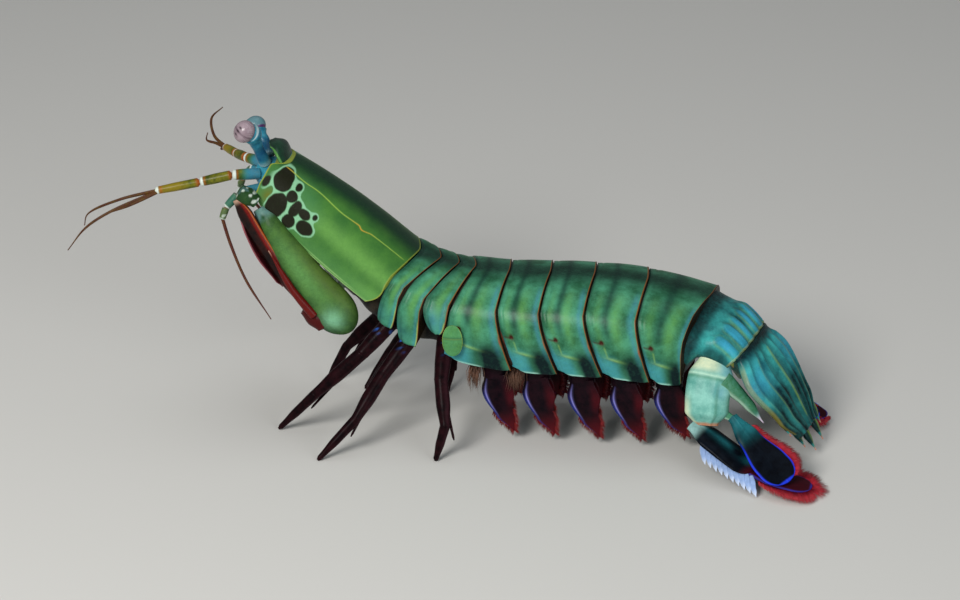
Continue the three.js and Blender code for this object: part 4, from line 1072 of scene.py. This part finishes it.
def hairs(roots, tips, sags, radius):
    """Closed hairs from root to tip: a triangle at the root, a smaller one half way along, moved by sag,
    and a point. Each takes a patch 0.003 across on the unwrap, and the patches stand in three rows in the
    order of the roots."""
    roots, tips, sags = (np.asarray(v, float) for v in (roots, tips, sags))
    along = unit(tips - roots)
    across = unit(np.cross(along, [0.13, 0.21, 1.0]))
    up = np.cross(along, across)
    turn = np.arange(3) * 2 * np.pi / 3
    rim = (across[:, None] * np.cos(turn)[:, None] + up[:, None] * np.sin(turn)[:, None]) * radius
    knees = (roots + tips) / 2 + sags
    points = np.concatenate([roots[:, None] + rim, knees[:, None] + rim * 0.72, tips[:, None]], 1)
    first = np.arange(len(roots))[:, None, None] * 7
    quads = (np.array([[0, 1, 4, 3], [1, 2, 5, 4], [2, 0, 3, 5]]) + first).reshape(-1, 4)
    ends = (np.array([[3, 4, 6], [4, 5, 6], [5, 3, 6], [2, 1, 0]]) + first).reshape(-1, 3)
    corners = np.stack([np.cos(turn), np.sin(turn)], -1)
    patch = np.concatenate([corners, 0.5 * corners, [[0, 0]]])
    spots = np.stack([np.linspace(0.02, 0.98, len(roots)), np.resize([0.2, 0.5, 0.8], len(roots))], -1)
    unwrap = (spots[:, None] + 0.0015 * patch).reshape(-1, 2)
    tone = np.tile([0, 0, 0, 0.4, 0.4, 0.4, 1.0], len(roots))
    return {"points": points.reshape(-1, 3), "faces": quads, "caps": list(ends), "marks": {"far_end": tone},
            "sharp": False, "unwrap": unwrap}


def hair_piece(name, part, material, slot):
    """A piece made of hairs, with a bake map from each corner's place on the unwrap."""
    mesh = piece(name, [part], material, slot).data
    corners = np.empty(len(mesh.loops), int)
    mesh.loops.foreach_get("vertex_index", corners)
    mesh.uv_layers.new(name="OFBake").data.foreach_set("uv", part["unwrap"][corners].ravel())


def fringe(blade, start, stop, length, count, seed):
    """Setae all round a blade's rim. Each root lies on one edge of the blade, and its tip looks out from
    the blade's middle line, turned towards the blade's own direction near its end. The place on the rim runs
    from start to stop through 0 at the end, with its two sides below and above 0."""
    draw = np.random.default_rng(seed)
    rows, cols, _ = blade.shape
    place = np.linspace(start, stop, count)
    row = np.clip((1 - np.abs(place)) * (rows - 1), 0, rows - 1.001)
    low, share = row.astype(int), (row % 1)[:, None]
    middle = blade.mean(1)
    spine = mixed(middle[low], middle[low + 1], share)
    ahead = unit(np.gradient(middle, axis=0))[low]
    edges = [mixed(blade[low, column], blade[low + 1, column], share) for column in (0, cols // 2)]
    edge = np.where(place[:, None] > 0, edges[0], edges[1])
    turn = np.clip(place / 0.07, -1, 1)[:, None]
    blend = np.abs(turn)
    other = np.where(place[:, None] > 0, edges[1], edges[0])
    edge = mixed((edge + other) / 2, edge, blend)
    out = unit(edges[0] - edges[1]) * turn
    way = unit(out + ahead * (1.15 - 0.72 * blend))
    reach = (
        length * draw.uniform(0.84, 1.06, (count, 1))
        * np.clip(0.45 + 2.2 * np.minimum(place - start, stop - place), 0, 1)[:, None]
    )
    root = edge - way * 0.12 + draw.normal(0, 0.08, (count, 3)) - [0, 0, 0.25]
    tip = edge + way * reach + draw.normal(0, 0.1, (count, 3))
    tip[:, 2] = np.maximum(0.25, tip[:, 2] - 0.3 + draw.uniform(-0.35, 0.35, count))
    root[:, 2] = np.maximum(0.25, root[:, 2])
    sag = np.zeros((count, 3))
    sag[:, 2] = draw.uniform(-0.1, 0.25, count)
    return hairs(root, tip, sag, 0.13)


FRINGES = {  # where each starts and stops on its blade's rim, the hairs' length and count, and the seed
    ("outer", "left"): (-0.72, 0.72, 4.3, 620, 209),
    ("inner", "left"): (0.1, 0.72, 2.9, 420, 209),
    ("outer", "right"): (-0.5, 0.15, 2.4, 620, 210),
    ("inner", "right"): (-0.4, 0.3, 2.4, 420, 210),
}
for (name, side), blade in BLADES.items():
    hair_piece(f"setae_{name}_{side}", fringe(blade, *FRINGES[name, side]), fringe_red, "fan")

# Trunk. The narrow soft body hangs under the shield and the thorax rings. It is dark folded skin, and
# carries the limbs.
trunk_skin = shell(
    "trunk_skin", "0d0f12", "211e1a", [("pale", "3a342c", 0.6)], size=2.5, stipple=0.6, gloss=0.45,
    wet=0.05, relief=0.3, shine=0.03,
)
grid, t, angle = swept(
    [[-37.5, 0, 54.5], [-25, 0, 42.5], [-12, 0, 31], [0, 0, 28.5], [6, 0, 28.5]],
    eased((0, 5.3), (0.3, 7.3), (0.7, 9.7), (1, 10.1)), eased((0, 5.3), (0.4, 6.8), (1, 7.2)), rows=90,
    cols=80, square=0.8,
)
folds = 0.18 * np.sin(t * 60) + 0.15 * ripple(grid, 4, 101)
piece("soft_trunk", [tube(lifted(grid, folds), pale=step(0.2, 1.4, folds * 6))], trunk_skin, "ink", "trunk")

# Head and eye stalks. A blue face block of soft shell carries two thick blue stalks, and each stalk
# widens into a cup with a pale rim for its eye.
face_shell = shell(
    "face_shell", "1a5f7c", "3f97a8",
    [("white", "b5d3da", 0.45), ("deep", "123f66", 0.35), ("green", "3c8a54", 0.4), ("rim", "c9d9d6", 0.2)],
    size=2.6, stipple=0.6, gloss=0.38, wet=0.15, relief=0.2,
)
grid, t, angle = swept(
    [[-38.6, 0, 57], [-43, 0, 60], [-47, 0, 61.8]], eased((0, 6), (0.5, 6), (1, 3.2)),
    eased((0, 5.6), (0.6, 4.4), (1, 2.2)), rows=70, cols=110, ends=0.5,
)
piece(
    "face_block",
    [
        tube(
            lifted(grid, 0.12 * ripple(grid, 3, 110)), white=step(0.4, 0.9, ripple(grid, 2.4, 111)) * 0.8,
            deep=step(0.5, 1, np.sin(angle)) * 0.3, green=(1 - step(0.0, 0.3, t)) * 0.5,
        )
    ],
    face_shell, "stalk", "head",
)
EYES = {
    -1: ([[-44.6, -2.2, 64], [-45.6, -4.6, 68.6], [-46.6, -7.4, 73.3]], [-0.55, -0.72, 0.42]),
    1: ([[-44.6, 2.2, 64], [-45.8, 4.4, 66.2], [-47.9, 6.2, 67.7]], [-0.45, 0.55, 0.7]),
}
for side, sign in SIDES:
    path, look = EYES[sign]
    path = np.array(path + [np.array(path[-1]) + unit(look)])
    grid, t, angle = swept(
        path, eased((0, 1.5), (0.4, 1.25), (0.62, 1.5), (0.86, 2.3), (1, 2.1)), side=(0.3, 1, 0.2),
        rows=80, cols=70,
    )
    piece(
        f"stalk_{side}",
        [
            tube(
                lifted(grid, 0.08 * ripple(grid, 2, 120) + 0.1 * hump(t, 0.9, 0.05)),
                rim=hump(t, 0.93, 0.012) * 0.8, deep=hump(t, 0.35, 0.25) * 0.8,
                white=(1 - step(0.0, 0.16, t)) * 0.6,
            )
        ],
        face_shell, "stalk", f"eye_stalk_{side}",
    )

# Eyes. Each is an oval dome of fine facets, cut in two by a band of six rows across its middle, with
# dark spots where the facets look straight out.
EYE_RADIUS = 2.45
eye_glass = shell(
    "eye_facets", "85747c", "a2939a",
    [("stripe", "6a5660", 0.2), ("band", "54414c", 0.2), ("pupil", "1f141c", 0.15), ("teal", "2f767e", 0.3),
     ("rim", "4a2456", 0.2)],
    size=1.5, stipple=0.25, gloss=0.2, wet=0.45, relief=0.05,
)
for side, sign in SIDES:
    path, look = EYES[sign]
    out = unit(look)
    across = unit(np.array([0.6, 0, 0.8]) - out * (out @ [0.6, 0, 0.8]))
    third = np.cross(across, out)
    centre = np.array(path[-1]) + out * 2
    turn, rise = np.meshgrid(np.arange(110) / 110 * 2 * np.pi, np.linspace(-1.52, 1.52, 64))
    local = np.stack(
        [1.12 * np.cos(rise) * np.cos(turn), 0.95 * np.sin(rise), np.cos(rise) * np.sin(turn)], -1,
    )
    a, b, c = local[..., 0] / 1.12, local[..., 1] / 0.95, local[..., 2]
    dent = 0.012 * hump(a, 0, 0.12)
    grid = centre + EYE_RADIUS * (1 - dent)[..., None] * (local @ np.array([across, out, third]))
    pupil = sum(
        np.exp(-(((a - p) / 0.09) ** 2) - ((c - q) / 0.2) ** 2)
        for p, q in ((0.34, 0.1), (0.0, 0.12), (-0.36, 0.1))
    )
    piece(
        f"eye_dome_{side}",
        [
            tube(
                grid, stripe=(0.5 + 0.5 * np.sin(a * 90)) * 0.55 * (b > -0.4), band=hump(a, 0, 0.1) * 0.7,
                pupil=np.clip(pupil, 0, 1) * (b > 0), rim=1 - step(-0.45, -0.3, b),
                teal=np.full(a.shape, 0.75 if sign > 0 else 0.0),
            )
        ],
        eye_glass, "eye", f"eye_{side}",
    )

# Feelers. Each antennule has three long joints of thin shell, banded in olive, orange and white, and
# ends in three dark red whips. Each antenna has three short green and white joints and one long whip.


def rod(start, end, first, last, swell=1.06, flat=1.0, side=(0, 1, 0), rows=40, cols=28, bow=(0, 0, 0)):
    """A round-ended limb joint: its radius eases from one end to the other and swells at the middle."""
    start, end = np.array(start, float), np.array(end, float)
    middle = (first + last) / 2 * swell
    size = eased((0, first * 0.55), (0.06, first), (0.5, middle), (0.94, last), (1, last * 0.55))
    path = [start, (start + end) / 2 + np.array(bow), end] if np.any(bow) else [start, end]
    return swept(path, size, lambda t: size(t) * flat, side=side, rows=rows, cols=cols, ends=0.75)


def whip(path, radius=0.32):
    """A feeler's whip: a fine rod along a curve, thinning to its tip, with a swelling for each ring."""
    size = eased((0, radius * 1.3), (0.6, radius), (1, 0.12))
    return swept(
        path, lambda t: size(t) * (1 + 0.07 * np.sin(t * 400)), side=(0.2, 1, 0.4), rows=260, cols=10,
    )


feeler_shell = shell(
    "feeler_shell", "35400f", "6c6a18",
    [("olive", "7c6c18", 0.3), ("orange", "94481a", 0.3), ("blue", "2a7c9c", 0.3), ("green", "2f6a3c", 0.4),
     ("white", "c5d0c8", 0.2), ("red", "4a181a", 0.4)],
    size=1.6, stipple=0.6, gloss=0.4, wet=0.1, relief=0.15,
)
ANTENNULES = {
    -1: ([[-45.2, -3.2, 61.6], [-51.9, -5, 61.6], [-59.3, -6, 59.8], [-69.6, -8, 57.8]],
         [[[-69, -7.8, 57.9], [-78.4, -8, 55], [-86.4, -7, 50.4], [-87.4, -6.6, 47.4]],
          [[-69, -8, 57.7], [-80.1, -10, 52.7], [-86, -11, 48.6], [-90.2, -12, 43.2]],
          [[-69, -8.2, 57.6], [-74, -11, 55.6], [-79, -15, 54.6]]]),
    1: ([[-45.2, 3.2, 61.6], [-51.4, 8.4, 60.6], [-54.8, 13, 59.6], [-58.6, 18, 59]],
        [[[-58.2, 17.6, 59], [-62.2, 22, 60.2], [-63.6, 26, 63], [-61.7, 30, 64.4]],
         [[-58.2, 17.6, 58.9], [-61.6, 21, 58.6], [-64.6, 24, 58.2], [-64.6, 25.4, 59.4]],
         [[-58.2, 17.8, 58.8], [-60.6, 22.6, 56.6], [-61.4, 27.6, 54.4]]]),
}
ANTENNAE = {
    -1: ([[-44.4, -5, 58.6], [-50, -8, 58], [-52.6, -9, 55.1], [-53.5, -10, 52.4]],
         [[-53.4, -10, 52.8], [-51.4, -11, 46.6], [-47.6, -13, 38.6], [-41.3, -16, 30.4]]),
    1: ([[-44.4, 5, 58.6], [-50, 8, 58], [-52.6, 9, 55.1], [-53.5, 10, 52.4]],
        [[-53.4, 10, 52.8], [-50.8, 14, 46.4], [-46.6, 19.6, 38.4], [-41.4, 23, 31.4]]),
}
for side, sign in SIDES:
    joints, whips = ANTENNULES[sign]
    parts = []
    for number, (first, last, white) in enumerate(((1.3, 1.2, 0.88), (1.15, 1.1, 0.9), (1.05, 0.9, 0.93))):
        grid, t, angle = rod(joints[number], joints[number + 1], first, last, rows=60)
        parts.append(
            tube(
                grid, blue=(1 - step(0.5, 0.7, t)) * (number == 0) * 0.8,
                white=step(white - 0.03, white, t) * (1 - step(0.98, 1, t)),
                orange=(1 - step(0.0, 0.14, t)) * (number > 0) + hump(t, white - 0.06, 0.04) * 0.6,
                olive=step(0.2, 0.5, t) * (number == 2) * 0.8,
                green=hump(t, 0.6, 0.15) * (number == 0) * 0.5,
            )
        )
    for path in whips:
        grid, t, angle = whip(path)
        parts.append(tube(grid, red=0.75 + 0.25 * np.sin(t * 400), olive=(1 - step(0.0, 0.2, t)) * 0.7))
    piece(f"antennule_joints_{side}", parts, feeler_shell, "feeler", f"antennule_{side}")

    joints, path = ANTENNAE[sign]
    parts = []
    for number, (first, last) in enumerate(((1.5, 1.4), (1.0, 0.9), (0.85, 0.75))):
        grid, t, angle = rod(joints[number], joints[number + 1], first, last, rows=44)
        spot = step(0.5, 0.8, ripple(grid, 0.9, 130 + number))
        parts.append(
            tube(
                grid, blue=np.full(t.shape, (0.8, 0.4, 0.1)[number]),
                green=np.full(t.shape, (0.1, 0.5, 0.2)[number]),
                white=np.clip(spot + step(0.85, 0.9, t), 0, 1) * (0.9, 0.8, 0.5)[number],
                orange=(1 - step(0.0, 0.12, t)) * (number > 0),
            )
        )
    grid, t, angle = whip(path)
    parts.append(tube(grid, red=0.85 + 0.15 * np.sin(t * 400)))
    piece(f"antenna_joints_{side}", parts, feeler_shell, "feeler", f"antenna_{side}")

# Antennal scales. A thin oval scale of dark red shell with a paler edge hangs beside each antenna, down
# along the folded claw.
scale_shell = shell(
    "scale_shell", "2c0c12", "4c1418", [("edge", "94545a", 0.3), ("rib", "1c080c", 0.3)], size=2,
    stipple=0.6, gloss=0.45, wet=0.05, relief=0.2, shine=0.02,
)
for side, sign in SIDES:
    grid, t, angle = swept(
        [[-49.6, sign * 10.2, 56], [-45.9, sign * 11, 47.4], [-39, sign * 12.4, 37.4]],
        eased((0, 0.9), (0.3, 2.6), (0.6, 3.2), (0.9, 2.1), (1, 0.5)),
        eased((0, 0.5), (0.5, 0.36), (1, 0.2)), rows=80, cols=60, ends=0.5,
    )
    piece(
        f"scale_{side}",
        [tube(grid, edge=step(0.8, 0.96, np.abs(np.cos(angle))) * 0.8, rib=hump(np.cos(angle), 0, 0.08))],
        scale_shell, "fan", f"antennal_scale_{side}",
    )

# Striking claws. Each is folded like a jack-knife: a thick green arm, a small wrist above, a dark shaft
# that folds back down along the arm, and a hard club with a swollen red heel at the bottom and a blade
# that lies along the shaft.
arm_shell = shell(
    "arm_shell", "223f1c", "395a24",
    [("pale", "5f9450", 0.4), ("olive", "55601e", 0.4), ("blue", "86b4c0", 0.35), ("spot", "16401f", 0.2),
     ("shade", "1a3a1f", 0.4), ("mint", "7cb894", 0.4), ("white", "c9d4c8", 0.3)],
    size=2.4, stipple=0.9, gloss=0.5, wet=0.05, relief=0.3,
)
club_shell = shell(
    "club_shell", "0c0505", "220b08",
    [("red", "8c1a14", 0.3), ("orange", "b0561c", 0.3), ("heel", "420b0a", 0.3), ("pale", "c8a48c", 0.2)],
    size=1.6, stipple=0.4, gloss=0.35, wet=0.15, relief=0.08, shine=0.08,
)
for side, sign in SIDES:
    grid, t, angle = swept(
        [[-44.8, sign * 9.4, 55.4], [-35.4, sign * 12, 42.2], [-22.8, sign * 13, 27.2]],
        rounded(eased((0, 1.5), (0.12, 3), (0.45, 4.4), (0.8, 5.4), (1, 5.2)), 0.82),
        rounded(eased((0, 1.3), (0.15, 2.6), (0.7, 3.2), (1, 3)), 0.86), side=(0.8, 0, 0.6), rows=120,
        cols=100, ends=0.9,
    )
    c = np.cos(angle)
    piece(
        f"arm_{side}",
        [
            tube(
                lifted(grid, 0.06 * ripple(grid, 3, 140) - 0.12 * hump(c, -0.55, 0.08)),
                pale=hump(t, 0.5, 0.3) * hump(c, 0.2, 0.6) * 0.6,
                olive=hump(t, 0.6, 0.3) * step(0.2, 0.9, c) * 0.4, blue=(1 - step(0.04, 0.1, t)) * 0.3,
                mint=np.exp(-(((t - 0.85) / 0.07) ** 2) - ((c + 0.1) / 0.45) ** 2) * 0.7,
                spot=hump(t, 0.06, 0.02) * hump(c, 0.2, 0.3), shade=1 - step(-0.95, -0.5, c),
            )
        ],
        arm_shell, "olive", f"claw_merus_{side}",
    )
    grid, t, angle = rod(
        [-45, sign * 10.2, 57.4], [-49, sign * 11.2, 60.2], 1.9, 2.2, swell=1.2, flat=0.8, rows=60,
        cols=60,
    )
    piece(
        f"wrist_{side}",
        [
            tube(
                lifted(grid, 0.1 * ripple(grid, 2, 141)), shade=0.7 + 0 * t,
                white=step(0.3, 0.7, ripple(grid, 1.1, 142)) * 0.8,
                blue=step(0.2, 0.6, ripple(grid, 1.4, 143)) * 0.6,
            )
        ],
        arm_shell, "pale", f"claw_carpus_{side}",
    )
    grid, t, angle = swept(
        [[-49.4, sign * 11.8, 58.4], [-42.2, sign * 12.6, 46], [-33.8, sign * 13.2, 33.6]],
        eased((0, 1.0), (0.15, 1.8), (0.7, 2), (1, 1.2)), eased((0, 0.8), (0.5, 1.3), (1, 0.9)),
        side=(0.8, 0, 0.6), rows=110, cols=60, ends=0.5,
    )
    c = np.cos(angle)
    piece(
        f"shaft_{side}",
        [
            tube(
                grid, red=hump(c, 0.55, 0.2) * 0.5 + step(0.7, 1, t) * 0.5,
                orange=hump(c, 0.82, 0.08) * 0.8, pale=(1 - step(0.0, 0.05, t)) * 0.6,
            )
        ],
        club_shell, "ink", f"claw_propodus_{side}",
    )
    grid, t, angle = rod(
        [-33.6, sign * 13.4, 32.8], [-29.2, sign * 13.6, 28], 1.8, 1.6, swell=1.3, rows=60, cols=50,
    )
    parts = [tube(grid, red=0.3 * step(0.2, 0.8, t), heel=0.8 + 0 * t)]
    grid, t, angle = swept([[-31.3, sign * 15, 31.6], [-35.8, sign * 15.6, 37.6], [-41.6, sign * 15, 47.4]],
                           eased((0, 1.1), (0.5, 0.8), (1, 0.14)), rows=80, cols=26, ends=0.4)
    parts.append(
        tube(
            grid, red=0.35 + 0 * t, orange=hump(np.cos(angle), 1, 0.25) * 0.6, pale=step(0.9, 1, t) * 0.5,
        )
    )
    piece(f"club_{side}", parts, club_shell, "club", f"claw_club_{side}")

# Mouth limbs. Three small limbs of pale shell with dark joints lie folded on each side, close under the
# fore body, on a bar of skin.
mouth_shell = shell(
    "mouth_limb_shell", "4a6a5c", "a9c4b0", [("dark", "1c2420", 0.4), ("olive", "6a6a30", 0.4)], size=1.5,
    stipple=0.7, gloss=0.32, wet=0.4, relief=0.2,
)
for side, sign in SIDES:
    grid, t, angle = rod([-42, sign * 3, 51], [-22, sign * 4.6, 32.6], 1.3, 1.3)
    parts = [tube(grid, dark=0.6 + 0 * t)]
    for row in range(3):
        x, z, out = mixed(-39, -27.5, row / 2), mixed(45.5, 34.4, row / 2), sign * mixed(3.2, 4.4, row / 2)
        for start, end, first, last in (
            ([x + 3, out, z + 3], [x - 2.2, out * 1.1, z - 2.8], 1.2, 0.9),
            ([x - 2, out * 1.1, z - 2.6], [x - 5.4, out * 1.2, z + 1.4], 0.9, 0.7),
        ):
            grid, t, angle = rod(start, end, first, last)
            parts.append(
                tube(
                    grid, dark=np.clip(1 - step(0.0, 0.15, t) + step(0.85, 1, t), 0, 1) * 0.7,
                    olive=hump(t, 0.5, 0.2) * 0.5,
                )
            )
    piece(f"mouth_limb_set_{side}", parts, mouth_shell, "pale", f"mouth_limbs_{side}")

# Walking legs. Three pairs of slim legs of maroon-black shell on the thorax, each of three long joints
# and a fine side branch, with blue flecks on the first joint.
LEGS = {
    -1: [
        [[-14, -9.2, 28.5], [-20.5, -12.6, 21.5], [-31.5, -14.6, 11], [-41.5, -12.8, -0.4]],
        [[-9, -9.2, 25.5], [-15, -15.2, 17.8], [-20.6, -22.4, 9], [-29.4, -27.4, -0.4]],
        [[-1.5, -9, 24.5], [-1.4, -16, 17.4], [0.4, -22, 8.6], [-1.8, -23.6, -0.4]],
    ],
    1: [
        [[-14, 9.2, 28.5], [-21.5, 13, 18.5], [-29.4, 14.6, 9.5], [-34.5, 12.5, -0.4]],
        [[-9, 9.2, 25.5], [-13, 15.2, 16], [-19, 16.4, 8], [-24.6, 10.5, -0.4]],
        [[-1.5, 9, 24.5], [-2.2, 15, 16], [-3.4, 16.6, 7.8], [-4.4, 11.5, -0.4]],
    ],
}
leg_shell = shell(
    "leg_shell", "0b0507", "220c10",
    [("blue", "2f6fd0", 0.3), ("pale", "4a2a32", 0.5), ("joint", "3a1a18", 0.3)], size=2, stipple=0.6,
    gloss=0.42, wet=0.03, relief=0.2, shine=0.02,
)
for side, sign in SIDES:
    for row, joints in enumerate(LEGS[sign]):
        root, knee, ankle, foot = np.array(joints, float)
        spread = 1.4 if (row, sign) == (2, 1) else 3.2
        twig = mixed(ankle, foot, 0.45) + [spread, 0, 0.8]
        bones = (
            (root, knee, 1.95, 1.65, 1.06), (knee, ankle, 1.6, 1.2, 1.2),
            (ankle, mixed(foot, ankle, 0.06), 1.2, 0.66, 1.15),
            (mixed(knee, ankle, 0.15), twig, 0.55, 0.3, 1.06),
        )
        parts = []
        for number, (start, end, first, last, swell) in enumerate(bones):
            along = unit(end - start)
            grid, t, angle = rod(
                start - along * 0.8, end + along * (0.8 if number < 2 else 0), first, last, swell=swell,
                rows=60, cols=36,
            )
            grid[..., 2] = np.maximum(grid[..., 2], 0.02)
            parts.append(
                tube(
                    grid,
                    blue=hump(t, 0.3, 0.1) * (number == 0) * step(0.4, 0.9, ripple(grid, 1.2, 150)) * 0.9,
                    joint=(1 - step(0.0, 0.06, t)) * (number in (1, 2)) * 0.7,
                    pale=hump(np.sin(angle), 0.8, 0.3) * 0.3,
                )
            )
        piece(f"leg_{row + 1}_{side}", parts, leg_shell, "leg", f"walking_leg_{row + 1}_{side}")

# Swimming legs. Five pairs hang under the abdomen. Each has a stout maroon base and two leaf-shaped
# flaps of thin shell, fringed with red hairs, with a painted lilac and blue highlight line along one
# edge. The first two pairs show a tuft of brown gill filaments.
SWIMMING_LEGS = (10.4, 20, 30.6, 40.6, 51)
GILL_PAIRS, GILL_HAIRS = 2, 130
FRINGED, TUFT = slice(52, 89), 5  # the rows of a flap that carry hairs, and the hairs at each of their edges
flap_shell = shell(
    "flap_shell", "09040a", "1c0a12",
    # lilac and blue are a painted highlight line along the flap's leading edge
    [("lilac", "8f8ee0", 0.25), ("red", "5c1018", 0.4), ("blue", "2a3a8c", 0.4)], size=2, stipple=0.5,
    gloss=0.42, wet=0.08, relief=0.12, shine=0.03,
)
flap_red = shell(
    "maroon_setae", "2c080c", "7c1418", [("far_end", "a03a3a", 0.3)], size=1.2, stipple=0.6, gloss=0.5,
    wet=0.05, relief=0.0,
)
gill_skin = shell(
    "gill_skin", "33201a", "6c4a3a", [("far_end", "8c6a58", 0.3)], size=1, stipple=0.6, gloss=0.5,
    wet=0.2, relief=0.0,
)
for side, sign in SIDES:
    for number, x in enumerate(SWIMMING_LEGS):
        shorter = 1.5 if number == 4 else 0
        grid, t, angle = rod(
            [x, sign * 8.6, 24.4], [x + 0.2, sign * 9.2, 15.4], 2.6, 2.4, flat=1.3, rows=24, cols=24,
        )
        parts = [tube(grid)]
        flaps = ((10.4, 4.8, 2.6 + shorter, 4.3), (6.6, 3.4, 4 + shorter, 3.6))
        roots, tips = [], []
        for out, behind, low, wide in flaps:
            path = [
                [x + 0.3, sign * out, 17], [x + 1.4, sign * (out + 0.3), 10],
                [x + behind, sign * (out + 0.2), low],
            ]
            grid, t, angle = swept(
                path, eased((0, wide * 0.7), (0.3, wide), (0.7, wide * 0.62), (1, 0.4)),
                eased((0, 0.75), (0.5, 0.45), (1, 0.2)), side=(1, sign * 0.35, 0), rows=90, cols=50,
                ends=0.5,
            )
            c = np.cos(angle)
            parts.append(
                tube(
                    # Painted highlight: a lilac and blue line along the leading edge.
                    grid, lilac=hump(c, -0.72, 0.06) * hump(t, 0.4, 0.22) * 0.9,
                    red=step(0.55, 0.95, t) * 0.6 + hump(t, 0.35, 0.2) * step(0.3, 0.8, c) * 0.4,
                    blue=hump(c, -0.9, 0.12) * step(0.2, 0.5, t) * 0.8,
                )
            )
            edge = grid[FRINGED][:, [0, grid.shape[1] // 2]].reshape(-1, 3)
            away = unit(edge - np.repeat(grid[FRINGED].mean(1), 2, 0))
            draw = np.random.default_rng(300 + number * 10 + sign)
            spots = np.repeat(edge - away * 0.2, TUFT, 0) + draw.normal(0, 0.1, (len(edge) * TUFT, 3))
            reach = draw.uniform(0.7, 1.5, (len(spots), 1))
            roots.append(spots)
            tips.append(
                spots + np.repeat(away, TUFT, 0) * reach * 0.7 + draw.normal(0, 0.12, spots.shape)
                + [0.3, 0, -0.9] * reach
            )
        piece(
            f"swimming_leg_flaps_{number + 1}_{side}", parts, flap_shell, "ink",
            f"swimming_leg_{number + 1}_{side}",
        )
        roots, tips = np.vstack(roots), np.vstack(tips)
        hair_piece(
            f"flap_hairs_{number + 1}_{side}", hairs(roots, tips, np.zeros(roots.shape), 0.07), flap_red,
            "fan",
        )
        if number >= GILL_PAIRS:
            continue
        draw = np.random.default_rng(400 + number * 10 + sign)
        slide = draw.uniform(0, 1, (GILL_HAIRS, 1))
        roots = (
            np.array([x - 3.6, sign * 10.4, 21.5]) + slide * [-1.6, sign * 0.6, -1.5]
            + draw.normal(0, 0.4, (GILL_HAIRS, 3))
        )
        tips = (
            roots + [-0.6, sign * 1.2, -7.4] + draw.normal(0, 0.8, (GILL_HAIRS, 3))
            + slide * [0.8, 0, 1.5]
        )
        sags = draw.normal(0, 0.35, (GILL_HAIRS, 3))
        hair_piece(f"gill_tuft_{number + 1}_{side}", hairs(roots, tips, sags, 0.09), gill_skin, "leg")
